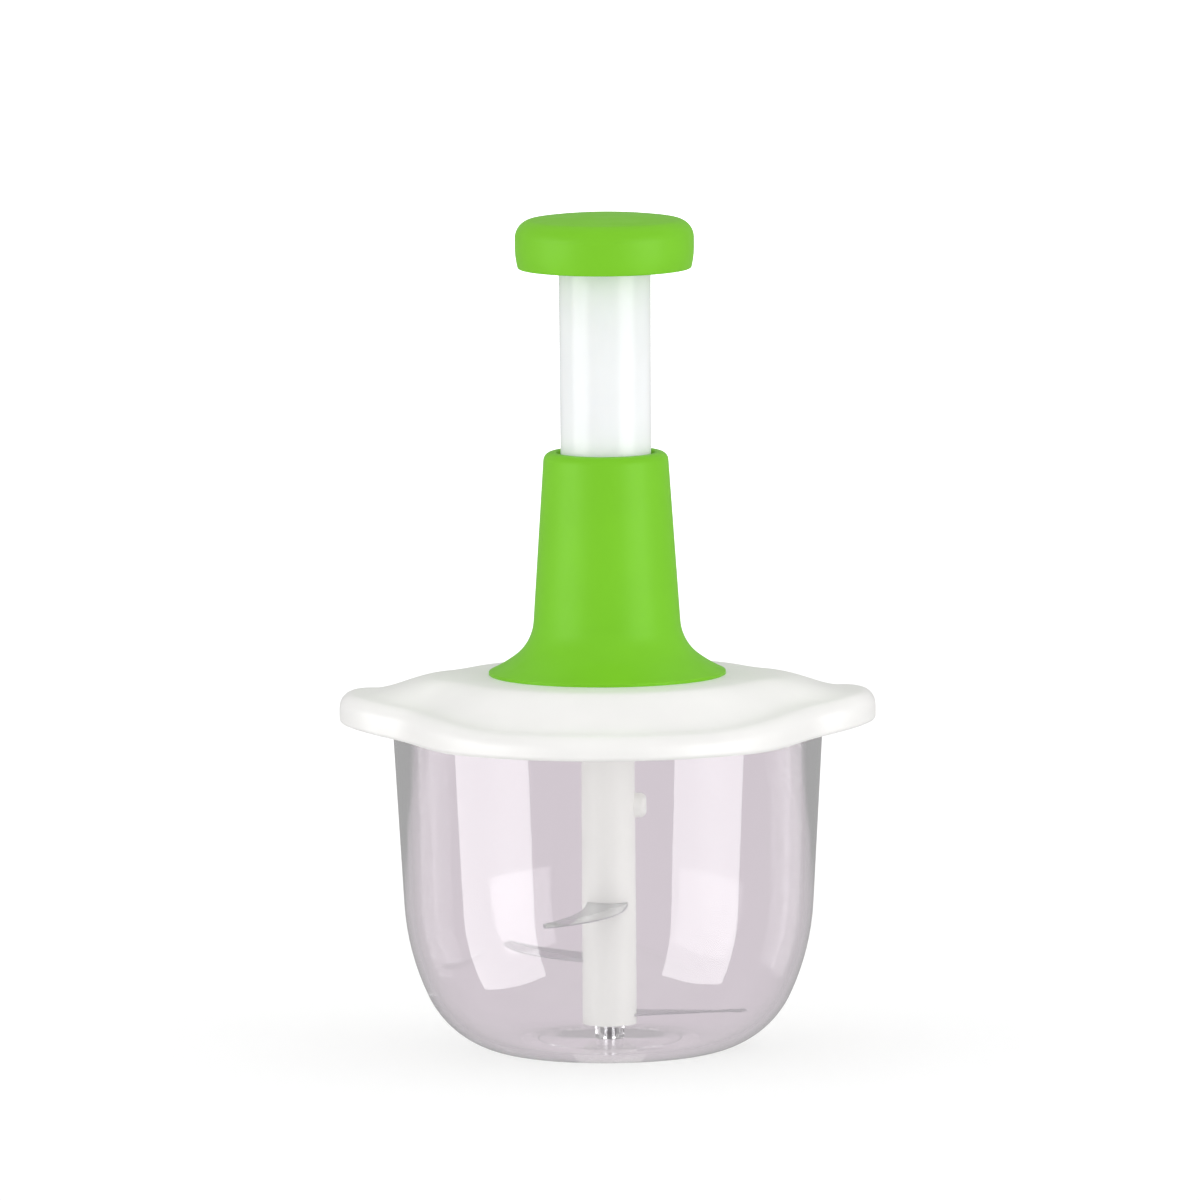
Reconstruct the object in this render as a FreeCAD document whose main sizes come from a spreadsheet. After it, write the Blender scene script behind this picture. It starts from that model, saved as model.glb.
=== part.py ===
import FreeCAD, Part
import math
import os
import re

import Sketcher
from FreeCAD import Placement, Rotation, Vector

# A press-down food chopper. Pushing the knob drives a twisted strip through a nut, and the nut
# turns the blade shaft in the bowl. Millimetres; the origin is the middle of the bowl's foot on
# the table, +Z points up to the knob and the lid's two ears lie along X.

SIZES = (
    # bowl
    ("foot_radius", 29.1, "flat foot of the bowl"),
    ("foot_ring", 6, "width of the ring that touches the table"),
    ("foot_recess", 0.7, "depth of the recess inside that ring"),
    ("corner_radius", 32.35, "curve between foot and belly"),
    ("corner_sweep", 64.9, "degrees that this curve turns"),
    ("belly_radius", 80.5, "curve between corner and straight wall"),
    ("wall_draft", 3.3, "degrees that the straight wall leans outwards"),
    ("bowl_height", 104.7, "table to rim"),
    ("bowl_wall", 2.5, "thickness of the bowl"),
    ("rim_round", 0.6, "rounding of the rim's outer edge"),
    ("boss_radius", 4.6, "boss that holds the pivot pin"),
    ("boss_height", 5, "boss above the bowl's floor"),
    ("pin_radius", 2, "pivot pin"),
    ("pin_seat", 6, "pivot pin inside its boss"),
    ("pin_length", 18, "whole pivot pin"),
    # blade rotor
    ("shaft_radius", 8.7, "blade shaft"),
    ("foot_lift", 0.4, "shaft's foot above the boss"),
    ("bush_wall", 2, "wall of the shaft bush"),
    ("bush_floor", 2, "closed end of the shaft bush"),
    ("shoulder_round", 1, "rounding of the shaft's shoulder"),
    ("hex_flats", 12.6, "hexagon of the shaft, across flats"),
    ("hex_length", 10, "height of that hexagon"),
    ("hex_bevel", 0.8, "lead-in of that hexagon"),
    ("lug_radius", 3.4, "round lug on the shaft"),
    ("lug_drop", 18.5, "lug's axis below the shaft's shoulder"),
    ("lug_reach", 3.7, "lug outside the shaft"),
    ("lug_round", 1.8, "rounding of the lug's end"),
    ("blade_thickness", 1.2, "sheet of the blades"),
    ("blade_root", 13, "width of a blade at the shaft"),
    ("blade_seat", 5.2, "distance from the axis to a blade's seated end"),
    ("blade_sweep", 15, "how far a blade's tip trails"),
    ("blade_tip", 2.4, "width of a blade's tip"),
    ("blade_edge_radius", 62, "curve of the cutting edge"),
    ("blade_back_radius", 85, "curve of the back edge"),
    ("blade_bevel", 0.8, "depth of the ground bevel"),
    ("blade_bevel_width", 4, "width of the ground bevel"),
    ("lower_level", 3, "lowest blade above the shaft's foot"),
    ("middle_level", 21, "middle blade above the shaft's foot"),
    ("upper_level", 39, "highest blade above the shaft's foot"),
    ("lower_reach", 45, "lowest blade's tip from the axis"),
    ("middle_reach", 55, "middle blade's tip from the axis"),
    ("upper_reach", 58, "highest blade's tip from the axis"),
    ("blade_turn", 25, "degrees from +X to the lowest blade"),
    # lid
    ("lid_gap", 0.6, "round part of the lid outside the bowl's rim"),
    ("lid_skin", 2, "thickness of the lid"),
    ("lid_rise", 17.5, "bowl's rim to the column's seat"),
    ("seat_radius", 38.3, "flat seat of the column"),
    ("ear_reach", 86.2, "middle of the lid to the end of an ear"),
    ("ear_half_width", 28.5, "half the width of an ear"),
    ("ear_corner", 25.5, "corner of an ear"),
    ("ear_fillet", 25, "hollow between ear and round part"),
    ("edge_rise", 5.6, "lid's top edge at the front above the rim"),
    ("edge_lift", 6.6, "how much the top edge rises towards the ears"),
    ("lift_start", 35, "distance from the middle at which that rise starts"),
    ("lift_end", 90, "distance from the middle at which it ends"),
    ("dome_power", 3.5, "how late the lid's top falls to its edge"),
    ("dome_hollow", 0.6, "share of the dome, from its edge, that is hollow"),
    ("edge_round", 5, "rounding of the lid's top edge"),
    ("hem_drop", 2.4, "lid's lower edge at the front below the rim"),
    ("hem_lift", 5.7, "how much the lower edge rises towards the ears"),
    ("hem_start", 48, "distance from the middle at which that rise starts"),
    ("hem_end", 99, "distance from the middle at which it ends"),
    ("gasket_height", 1.4, "rim gasket"),
    ("gasket_width", 2.8, "rim gasket"),
    ("plug_drop", 2.2, "liner's plug ring below the rim"),
    ("land_height", 1.2, "liner's rim on the gasket"),
    ("land_width", 1.7, "liner's rim on the gasket"),
    # column
    ("column_base", 38.1, "radius of the column's base"),
    ("column_wall", 2.2, "thickness of the column"),
    ("column_draft", 3.83, "degrees that the column's wall leans inwards"),
    ("neck_radius", 23.61, "column where the flare starts"),
    ("neck_height", 17.2, "start of the flare above the seat"),
    ("flare_radius", 15.35, "upper curve of the flare"),
    ("flare_sweep", 49, "degrees that this curve turns"),
    ("skirt_radius", 43.3, "lower curve of the flare"),
    ("mouth_radius", 15.9, "hole in the column's mouth"),
    ("mouth_round", 2.6, "rounding of the mouth's outer edge"),
    ("mouth_lip", 2.3, "lip above the guide ring"),
    ("ring_wall", 2.5, "guide ring"),
    ("ring_length", 9.7, "guide ring"),
    ("post_circle", 25, "radius on which the screw posts stand"),
    ("post_radius", 3.2, "screw post"),
    ("post_height", 7, "screw post"),
    # liner and bearing under the lid
    ("liner_wall", 2.2, "thickness of the liner"),
    ("liner_depth", 11, "lid's ceiling to the liner's lower face"),
    ("liner_slope", 12, "width of the slope between floor and plug ring"),
    ("well_radius", 3.1, "hollow of the liner's screw posts"),
    ("bearing_wall", 1.6, "barrel of the bearing bush"),
    ("bearing_flange", 1.5, "flange of the bearing bush"),
    ("washer_height", 0.8, "thrust washer and spring washer"),
    ("collar_radius", 14, "thrust collar of the drive tube"),
    ("collar_height", 2.5, "thrust collar of the drive tube"),
    # drive rotor
    ("tube_radius", 8.8, "drive tube, outside"),
    ("tube_bore", 6.6, "drive tube, inside"),
    ("socket_radius", 10.8, "drive socket"),
    ("socket_cup", 3, "depth in which the drive tube sits"),
    ("socket_web", 1.7, "web between tube and hexagon"),
    ("socket_depth", 9, "hexagon hole"),
    ("cross_pin_radius", 1, "pin through socket and tube"),
    ("nut_radius", 7.6, "drive nut"),
    ("nut_length", 9, "drive nut inside the tube"),
    ("nut_flange", 1.5, "drive nut above the tube"),
    ("key_width", 2, "key of the drive nut"),
    ("key_height", 3, "key of the drive nut"),
    ("strip_width", 10.4, "twisted strip"),
    ("strip_thickness", 1.6, "twisted strip"),
    ("strip_pitch", 30, "rise of the strip for one turn"),
    ("strip_tail", 4, "strip below the nut at rest"),
    # plunger
    ("stroke", 54, "travel of the knob"),
    ("press_tube_radius", 14.8, "plunger tube at the knob"),
    ("press_tube_foot", 14.5, "plunger tube at its flange"),
    ("press_tube_bore", 12.8, "plunger tube, inside"),
    ("press_tube_show", 59.2, "plunger tube between mouth and knob at rest"),
    ("press_tube_top", 9.4, "plunger tube inside the knob"),
    ("flange_radius", 16.9, "stop flange of the plunger tube"),
    ("flange_height", 5, "stop flange of the plunger tube"),
    ("end_gap", 0.5, "room under the plunger tube at full press"),
    ("holder_length", 9, "plug that holds the strip"),
    ("anchor_radius", 1.5, "pin through plug and strip"),
    ("anchor_level", 6.3, "that pin above the knob's underside"),
    ("knob_radius", 28.8, "knob"),
    ("knob_height", 17.5, "knob"),
    ("knob_wall", 2.4, "thickness of the knob"),
    ("knob_tuck", 0.9, "how much narrower the knob's lower edge is"),
    ("knob_waist", 7, "height of the knob's widest place"),
    ("knob_side_radius", 28, "curve below that place"),
    ("knob_shoulder", 6, "curve between side and crown"),
    ("knob_crown", 166, "curve of the crown"),
    ("hub_wall", 2.1, "ring in the knob round the tube"),
    ("base_plate_height", 3, "base plate of the knob"),
    ("base_plate_inset", 0.3, "base plate above the knob's lower edge"),
    ("clip_height", 1.4, "retaining clip"),
    ("clip_depth", 0.8, "depth of the clip's groove"),
    ("clip_width", 3, "retaining clip from inside to outside"),
    ("clip_mouth", 60, "degrees that the clip is open"),
    ("knob_post_circle", 21.3, "radius on which the knob's screw posts stand"),
    # return spring
    ("wire_radius", 0.7, "spring wire"),
    ("coil_radius", 10.9, "middle of the wire from the axis"),
    ("coil_count", 16, "turns of the spring"),
    ("spring_seat_height", 2, "spring seat"),
    ("spring_seat_lip", 2, "lip of the spring seat"),
    # screws
    ("screw_radius", 1.05, "shank of the self-tapping screws"),
    ("screw_head_radius", 2.7, "head of the screws"),
    ("screw_head_height", 1.7, "head of the screws"),
    ("pilot_radius", 1.1, "hole for the shank"),
    ("screw_hole_radius", 1.6, "hole that the shank passes"),
    ("thread_length", 6, "shank inside its post"),
    # clearances
    ("run_gap", 0.1, "radial gap of a part that turns or slides"),
    ("fit_gap", 0.05, "radial gap of a part that is fixed"),
    ("face_gap", 0.3, "gap between faces that pass each other"),
    ("loose_gap", 0.5, "gap round a part that only passes"),
    ("hex_gap", 0.2, "gap on each flat of the hexagon"),
    ("slot_gap", 0.15, "gap round the strip in its slots"),
)
ALIASES = {alias for alias, _, _ in SIZES}

document = FreeCAD.newDocument("food_chopper")
sheet = document.addObject("Spreadsheet::Sheet", "Sizes")
for row, (alias, number, meaning) in enumerate(SIZES, start=1):
    sheet.set(f"A{row}", meaning)
    sheet.set(f"B{row}", str(number))
    sheet.setAlias(f"B{row}", alias)
document.recompute()

# Heights above the table, as expressions of the sheet's names.
FLOOR = "bowl_wall"
BOSS_TOP = f"({FLOOR} + boss_height)"
SHAFT_FOOT = f"({BOSS_TOP} + foot_lift)"
SEAT = "(bowl_height + lid_rise)"
CEILING = f"({SEAT} - lid_skin)"
LINER = f"({CEILING} - liner_depth)"
BUSH_FLANGE = f"({LINER} + liner_wall)"
WASHER = f"({BUSH_FLANGE} + bearing_flange)"
COLLAR = f"({WASHER} + washer_height)"
COLLAR_TOP = f"({COLLAR} + collar_height)"
SOCKET_TOP = f"({LINER} - face_gap)"
TUBE_FOOT = f"({SOCKET_TOP} - socket_cup)"
HEX_CEILING = f"({TUBE_FOOT} - socket_web)"
HEX_TOP = f"({HEX_CEILING} - loose_gap)"
SHOULDER = f"({HEX_TOP} - hex_length)"
CROSS_PIN = f"({TUBE_FOOT} + socket_cup / 2)"
STRIP_END = f"({CROSS_PIN} + cross_pin_radius + loose_gap + stroke)"
NUT_FOOT = f"({STRIP_END} + strip_tail)"
TUBE_TOP = f"({NUT_FOOT} + nut_length)"
PRESS_FOOT = f"({SEAT} + stroke + end_gap)"
RING = f"({PRESS_FOOT} + flange_height + face_gap)"
MOUTH = f"({RING} + ring_length + mouth_lip)"
KNOB = f"({MOUTH} + press_tube_show)"
ANCHOR = f"({KNOB} + anchor_level)"
SPRING_FOOT = f"({SEAT} + spring_seat_height)"
SPRING_TOP = f"({KNOB} - washer_height)"

# Radii that several pieces share.
BUSH_RADIUS = "(pin_radius + run_gap + bush_wall)"
BEARING_BORE = "(tube_radius + run_gap)"
BEARING_BARREL = f"({BEARING_BORE} + bearing_wall)"
RING_BORE = "(press_tube_radius + run_gap)"
RING_RADIUS = f"({RING_BORE} + ring_wall)"
CLIP_SEAT = "(press_tube_radius - clip_depth)"

CONVEX = 1
HOLLOW = -1
NEAR = 1e-3  # millimetres within which two places are one
KNOB_POSTS = 3
COLUMN_POSTS = 4
POST_TURN = 45  # degrees from +X to the first screw of the column


def bound(text):
    """Turn the sheet's names in an expression into references to its cells."""
    return re.sub(r"[a-z_]+", lambda name: ("Sizes." if name[0] in ALIASES else "") + name[0], text)


def value(text):
    """The number that an expression gives now."""
    return float(sheet.evalExpression(bound(text)))


def bind(item, **sizes):
    """Bind properties of an object to expressions; an underscore stands for a dot."""
    for name, text in sizes.items():
        item.setExpression(name.replace("_", "."), bound(text))
    return item


def new_body(label, level="0"):
    """An empty body whose own zero stands at a height above the table."""
    body = document.addObject("PartDesign::Body", label)
    body.Label = label
    bind(body, Placement_Base_z=level)
    return body


def new_sketch(body, plane, lift="0", turn="0"):
    """A sketch on one of the body's own planes, moved along its normal and turned about it."""
    name = f"{body.Name}_sketch"
    sketch = body.newObject("Sketcher::SketchObject", name)
    face = next(item for item in body.Origin.OriginFeatures if item.Role == plane)
    sketch.AttachmentSupport = [(face, "")]
    sketch.MapMode = "FlatFace"
    bind(sketch, AttachmentOffset_Base_z=lift, AttachmentOffset_Rotation_Angle=f"({turn}) * 1 deg")
    return sketch


def fix_point(sketch, edge, end, x, y):
    """Bind one end of an edge, or a centre, to a place in the sketch."""
    for kind, text in (("DistanceX", x), ("DistanceY", y)):
        index = sketch.addConstraint(Sketcher.Constraint(kind, -1, 1, edge, end, value(text)))
        sketch.setExpression(f"Constraints[{index}]", bound(text))


def arc_between(start, end, radius, side):
    """The arc under half a turn between two points, its centre left of the way if convex."""
    half = (end - start) * 0.5
    reach = math.sqrt(radius**2 - half.Length**2)
    left = Vector(-half.y, half.x, 0).normalize()
    centre = start + half + left * reach * side
    first, last = (start, end) if side == CONVEX else (end, start)
    angles = [math.atan2(point.y - centre.y, point.x - centre.x) for point in (first, last)]
    return Part.ArcOfCircle(Part.Circle(centre, Vector(0, 0, 1), radius), *angles)


def draw_loop(sketch, points):
    """Draw a closed loop, counter-clockwise, through points that are bound to the sheet.

    A point is (x, y). With a radius and a side it starts an arc: CONVEX bulges out of the
    loop and HOLLOW into it.
    """
    spots = [Vector(value(point[0]), value(point[1]), 0) for point in points]
    edges = []
    for point, start, end in zip(points, spots, spots[1:] + spots[:1]):
        if len(point) == 2:
            edges.append((sketch.addGeometry(Part.LineSegment(start, end)), 1, 2))
            continue
        radius, side = point[2:]
        arc = sketch.addGeometry(arc_between(start, end, value(radius), side))
        index = sketch.addConstraint(Sketcher.Constraint("Radius", arc, value(radius)))
        sketch.setExpression(f"Constraints[{index}]", bound(radius))
        edges.append((arc, 1, 2) if side == CONVEX else (arc, 2, 1))
    for point, (edge, first, _), (before, _, last) in zip(points, edges, edges[-1:] + edges[:-1]):
        sketch.addConstraint(Sketcher.Constraint("Coincident", before, last, edge, first))
        fix_point(sketch, edge, first, point[0], point[1])


def draw_circle(sketch, radius, x="0", y="0"):
    """Draw a circle whose radius and centre are bound to the sheet."""
    centre = Vector(value(x), value(y), 0)
    circle = sketch.addGeometry(Part.Circle(centre, Vector(0, 0, 1), value(radius)))
    index = sketch.addConstraint(Sketcher.Constraint("Radius", circle, value(radius)))
    sketch.setExpression(f"Constraints[{index}]", bound(radius))
    fix_point(sketch, circle, 3, x, y)


def draw_circles(sketch, radius, ring, count, turn=0):
    """Draw equal circles spaced evenly round the axis."""
    for index in range(count):
        angle = f"({turn + 360 * index / count}) * 1 deg"
        draw_circle(sketch, radius, f"{ring} * cos({angle})", f"{ring} * sin({angle})")


def revolve(body, points):
    """Turn a loop of (radius, height) points about the body's axis."""
    sketch = new_sketch(body, "XZ_Plane")
    draw_loop(sketch, points)
    feature = body.newObject("PartDesign::Revolution", f"{body.Name}_turned")
    feature.Profile = sketch
    feature.ReferenceAxis = (sketch, ["V_Axis"])
    feature.Angle = 360
    document.recompute()
    return feature


def turned(label, level, points):
    """A body that is a single solid of revolution."""
    body = new_body(label, level)
    revolve(body, points)
    return body


def ring(label, level, inner, outer, height):
    """A plain ring or washer."""
    corners = [(inner, "0"), (outer, "0"), (outer, height), (inner, height)]
    return turned(label, level, corners)


def pad(body, sketch, length, midplane=False):
    """Raise a sketch along its normal."""
    feature = body.newObject("PartDesign::Pad", f"{body.Name}_pad")
    feature.Profile = sketch
    feature.Midplane = midplane
    bind(feature, Length=length)
    document.recompute()
    return feature


def pocket(body, sketch, length, midplane=False, upwards=False):
    """Cut a sketch into the body, down from its plane unless upwards is set."""
    before = body.Shape.Volume
    feature = body.newObject("PartDesign::Pocket", f"{body.Name}_pocket")
    feature.Profile = sketch
    feature.Midplane = midplane
    feature.Reversed = upwards
    bind(feature, Length=length)
    document.recompute()
    if body.Shape.Volume >= before:
        raise ValueError(f"a pocket of {body.Label} cuts nothing")
    return feature


def edges_where(feature, test):
    """The names of a feature's edges that pass a test."""
    return [f"Edge{i}" for i, edge in enumerate(feature.Shape.Edges, start=1) if test(edge)]


def circle_at(radius, height):
    """A test for the circles round the axis with this radius and height in the body."""
    wanted_radius, wanted_height = value(radius), value(height)

    def test(edge):
        if not isinstance(edge.Curve, Part.Circle):
            return False
        near = abs(edge.Curve.Radius - wanted_radius) < NEAR
        return near and abs(edge.Curve.Center.z - wanted_height) < NEAR

    return test


def dress(body, kind, feature, test, **sizes):
    """Round or bevel the edges of the body's last feature that pass a test."""
    names = edges_where(feature, test)
    if not names:
        raise ValueError(f"{body.Label} has no such edge")
    dressing = body.newObject(f"PartDesign::{kind}", f"{body.Name}_{kind.lower()}")
    dressing.Base = (feature, names)
    bind(dressing, **sizes)
    document.recompute()
    return dressing


def cut(label, base, tool):
    """One object with another taken away."""
    result = document.addObject("Part::Cut", label)
    result.Label = label
    result.Base = base
    result.Tool = tool
    document.recompute()
    return result


def rod(name, radius, length, level, axis):
    """A cylinder across the axis, centred on it, along X or Y."""
    cylinder = document.addObject("Part::Cylinder", name)
    cylinder.Label = name
    turn = Rotation(Vector(0, 1, 0), 90) if axis == "X" else Rotation(Vector(1, 0, 0), -90)
    cylinder.Placement = Placement(Vector(0, 0, 0), turn)
    bind(cylinder, Radius=radius, Height=length, Placement_Base_z=level)
    cylinder.setExpression(f"Placement.Base.{axis.lower()}", bound(f"-({length}) / 2"))
    document.recompute()
    return cylinder


# ---------------------------------------------------------------- bowl


def bowl_side(wall):
    """The bowl's side from foot to rim, at a distance inside its outer face.

    Gives the points of the two arcs and of the rim, from the foot upwards.
    """
    sweep = "(corner_sweep * 1 deg)"
    draft = "(wall_draft * 1 deg)"
    step = "(belly_radius - corner_radius)"
    belly_x = f"(foot_radius - {step} * sin{sweep})"
    belly_z = f"(corner_radius + {step} * cos{sweep})"
    end_x = f"({belly_x} + (belly_radius - {wall}) * cos{draft})"
    end_z = f"({belly_z} - (belly_radius - {wall}) * sin{draft})"
    return [
        ("foot_radius", wall, f"(corner_radius - {wall})"),
        (
            f"(foot_radius + (corner_radius - {wall}) * sin{sweep})",
            f"(corner_radius - (corner_radius - {wall}) * cos{sweep})",
            f"(belly_radius - {wall})",
        ),
        (end_x, end_z),
        (f"({end_x} + (bowl_height - {end_z}) * tan{draft})", "bowl_height"),
    ]


def make_bowl():
    """Clear bowl: flat foot with a recess, curved belly, drafted wall and a pin boss."""
    corner, belly, wall, rim = bowl_side("0")
    inner_corner, inner_belly, inner_wall, inner_rim = bowl_side("bowl_wall")
    recess = "(foot_radius - foot_ring)"
    body = new_body("bowl")
    shell = revolve(body, [
        ("0", "foot_recess"),
        (recess, "foot_recess"),
        (recess, "0"),
        (*corner, CONVEX),
        (*belly, CONVEX),
        wall,
        rim,
        inner_rim,
        (*inner_wall, inner_belly[2], HOLLOW),
        (inner_belly[0], inner_belly[1], inner_corner[2], HOLLOW),
        (inner_corner[0], inner_corner[1]),
        ("boss_radius", FLOOR),
        ("boss_radius", BOSS_TOP),
        ("pin_radius + fit_gap", BOSS_TOP),
        ("pin_radius + fit_gap", f"{BOSS_TOP} - pin_seat"),
        ("0", f"{BOSS_TOP} - pin_seat"),
    ])
    dress(body, "Fillet", shell, circle_at(rim[0], "bowl_height"), Radius="rim_round")
    return body


def make_pivot_pin():
    """Steel pin in the bowl's boss, with a bevelled top."""
    body = new_body("pivot_pin", f"{BOSS_TOP} - pin_seat")
    pin = revolve(body, [
        ("0", "0"), ("pin_radius", "0"), ("pin_radius", "pin_length"), ("0", "pin_length"),
    ])
    dress(body, "Chamfer", pin, circle_at("pin_radius", "pin_length"), Size="pin_radius / 4")
    return body


# ---------------------------------------------------------------- blade rotor


BLADES = (
    # node, level above the shaft's foot, reach from the axis, turn about the axis
    ("blade_lower", "lower_level", "lower_reach", "blade_turn"),
    ("blade_middle", "middle_level", "middle_reach", "blade_turn + 120"),
    ("blade_upper", "upper_level", "upper_reach", "blade_turn + 240"),
)


def make_blade_shaft():
    """White shaft: bush hole below, three blade slots, a round lug and a hexagon on top."""
    foot_to_shoulder = f"({SHOULDER} - {SHAFT_FOOT})"
    hole = f"({BUSH_RADIUS} + fit_gap)"
    hole_depth = f"({BOSS_TOP} - pin_seat + pin_length + bush_floor + run_gap - {SHAFT_FOOT})"
    body = new_body("blade_shaft", SHAFT_FOOT)
    stem = revolve(body, [
        (hole, "0"),
        ("shaft_radius", "0"),
        ("shaft_radius", foot_to_shoulder),
        ("0", foot_to_shoulder),
        ("0", hole_depth),
        (hole, hole_depth),
    ])
    dress(body, "Fillet", stem, circle_at("shaft_radius", foot_to_shoulder), Radius="shoulder_round")
    hexagon = new_sketch(body, "XY_Plane", foot_to_shoulder)
    draw_hexagon(hexagon, "hex_flats / 2")
    head = pad(body, hexagon, "hex_length")
    top = value(f"{foot_to_shoulder} + hex_length")
    dress(body, "Chamfer", head, lambda edge: edge.BoundBox.ZMin > top - NEAR, Size="hex_bevel")
    lug_sketch = new_sketch(body, "YZ_Plane")
    draw_circle(lug_sketch, "lug_radius", y=f"{foot_to_shoulder} - lug_drop")
    lug = pad(body, lug_sketch, "shaft_radius + lug_reach")
    lug_end = value("shaft_radius + lug_reach")
    dress(body, "Fillet", lug, lambda edge: edge.BoundBox.XMin > lug_end - NEAR, Radius="lug_round")
    for _, level, _, turn in BLADES:
        slot = new_sketch(body, "XY_Plane", f"{level} - fit_gap", turn)
        half = "(blade_root / 2 + fit_gap)"
        near, far = "(blade_seat - fit_gap)", "(shaft_radius + 1)"
        draw_loop(slot, [(near, f"-{half}"), (far, f"-{half}"), (far, half), (near, half)])
        pocket(body, slot, "blade_thickness + 2 * fit_gap", upwards=True)
    return body


def draw_hexagon(sketch, inner_radius):
    """Draw a hexagon with two flats square to X, from its inner radius."""
    corners = []
    for index in range(6):
        angle = f"({30 + 60 * index} * 1 deg)"
        reach = f"{inner_radius} / cos(30 * 1 deg)"
        corners.append((f"{reach} * cos{angle}", f"{reach} * sin{angle}"))
    draw_loop(sketch, corners)


def make_blade(label, level, reach, turn):
    """Curved blade: seated root, convex ground cutting edge, trailing tip, hollow back."""
    half = "(blade_root / 2)"
    neck = "(shaft_radius + 1.5)"
    tip_x = f"sqrt({reach} ^ 2 - blade_sweep ^ 2)"
    body = new_body(label, f"{SHAFT_FOOT} + {level}")
    bind(body, Placement_Rotation_Angle=f"({turn}) * 1 deg")
    sketch = new_sketch(body, "XY_Plane")
    draw_loop(sketch, [
        ("blade_seat", f"-{half}"),
        (neck, f"-{half}", "blade_back_radius", HOLLOW),
        (f"{tip_x} - blade_tip", f"-blade_sweep - blade_tip / 2"),
        (tip_x, "-blade_sweep", "blade_edge_radius", CONVEX),
        (neck, half),
        ("blade_seat", half),
    ])
    sheet_metal = pad(body, sketch, "blade_thickness")
    edge_radius, top = value("blade_edge_radius"), value("blade_thickness")

    def cutting_edge(edge):
        if not isinstance(edge.Curve, Part.Circle) or edge.BoundBox.ZMin < top - NEAR:
            return False
        return abs(edge.Curve.Radius - edge_radius) < NEAR

    bevel = dress(body, "Chamfer", sheet_metal, cutting_edge, Size="blade_bevel")
    bevel.ChamferType = "Two distances"
    bind(bevel, Size2="blade_bevel_width")
    document.recompute()
    return body


def make_shaft_bush():
    """Bush in the shaft's foot, closed at its upper end, that runs on the pivot pin."""
    bore = "(pin_radius + run_gap)"
    depth = f"({BOSS_TOP} - pin_seat + pin_length + run_gap - {SHAFT_FOOT})"
    whole = f"({depth} + bush_floor)"
    return turned("shaft_bush", SHAFT_FOOT, [
        (bore, "0"),
        (BUSH_RADIUS, "0"),
        (BUSH_RADIUS, whole),
        ("0", whole),
        ("0", depth),
        (bore, depth),
    ])


# ---------------------------------------------------------------- lid


# How many points the lid's outline has on each stretch of a quarter.
END_SAMPLES = 1
CORNER_SAMPLES = 9
HOLLOW_SAMPLES = 6
ROUND_SAMPLES = 14
EDGE_TURNS = (0, 30, 60, 90)  # degrees round the top edge at which the lid has a ring
DOME_SHARES = (0.05, 0.12, 0.2, 0.3, 0.4, 0.5, 0.6, 0.7, 0.8, 0.9, 1)  # rings from that edge to the seat


def smooth(amount):
    """Ease from 0 to 1 with level ends."""
    amount = min(max(amount, 0), 1)
    return amount * amount * (3 - 2 * amount)


def lid_radius():
    """Radius of the lid's round part, which passes outside the bowl's rim."""
    return value(f"{bowl_side('0')[3][0]} + lid_gap + lid_skin")


def outline_quarter(inset):
    """Points and outward normals of the lid's outline from +X to +Y, moved in by a distance.

    The outline is the ear's straight end, its corner, the hollow beside it and the round
    part. The centres of its arcs stay where they are when it moves in.
    """
    reach, half_width = value("ear_reach"), value("ear_half_width")
    corner, fillet, radius = value("ear_corner"), value("ear_fillet"), lid_radius()
    corner_at = Vector(reach - corner, half_width - corner, 0)
    fillet_reach = radius + fillet
    span = corner_at.Length
    along = (fillet_reach**2 - (corner + fillet) ** 2 + span**2) / (2 * span)
    across = math.sqrt(fillet_reach**2 - along**2)
    out = Vector(corner_at).normalize()
    fillet_at = out * along + Vector(-out.y, out.x, 0) * across
    join = fillet_at - corner_at
    join_angle = math.atan2(join.y, join.x)
    round_angle = math.atan2(fillet_at.y, fillet_at.x)
    samples = []
    for share in shares(END_SAMPLES):
        samples.append((Vector(reach - inset, corner_at.y * share, 0), Vector(1, 0, 0)))
    for share in shares(CORNER_SAMPLES):
        normal = direction(join_angle * share)
        samples.append((corner_at + normal * (corner - inset), normal))
    for share in shares(HOLLOW_SAMPLES):
        normal = direction(join_angle + (round_angle - join_angle) * share)
        samples.append((fillet_at - normal * (fillet + inset), normal))
    for share in shares(ROUND_SAMPLES):
        normal = direction(round_angle + (math.pi / 2 - round_angle) * share)
        samples.append((normal * (radius - inset), normal))
    return samples


def shares(count):
    """Even shares of a stretch, from 0 and short of 1."""
    return [index / count for index in range(count)]


def direction(angle):
    """The unit vector at an angle from +X."""
    return Vector(math.cos(angle), math.sin(angle), 0)


def outline(inset):
    """The whole outline as points and normals, counter-clockwise from +X."""
    quarter = outline_quarter(inset)
    top = (Vector(0, lid_radius() - inset, 0), Vector(0, 1, 0))
    second = [mirrored(sample, -1, 1) for sample in reversed(quarter[1:])]
    half = quarter + [top] + second + [mirrored(quarter[0], -1, 1)]
    return half + [mirrored(sample, 1, -1) for sample in reversed(half[1:-1])]


def mirrored(sample, x_sign, y_sign):
    """A sample of the outline on the other side of an axis."""
    return tuple(Vector(item.x * x_sign, item.y * y_sign, 0) for item in sample)


def edge_height(x):
    """Height of the lid's top edge above the table, which rises towards the ears."""
    start, end = value("lift_start"), value("lift_end")
    rise = smooth((abs(x) - start) / (end - start))
    return value("bowl_height + edge_rise") + value("edge_lift") * rise


def hem_height(x):
    """Height of the lid's lower edge above the table, which rises towards the ears."""
    start, end = value("hem_start"), value("hem_end")
    rise = smooth((abs(x) - start) / (end - start))
    return value("bowl_height - hem_drop") + value("hem_lift") * rise


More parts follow.
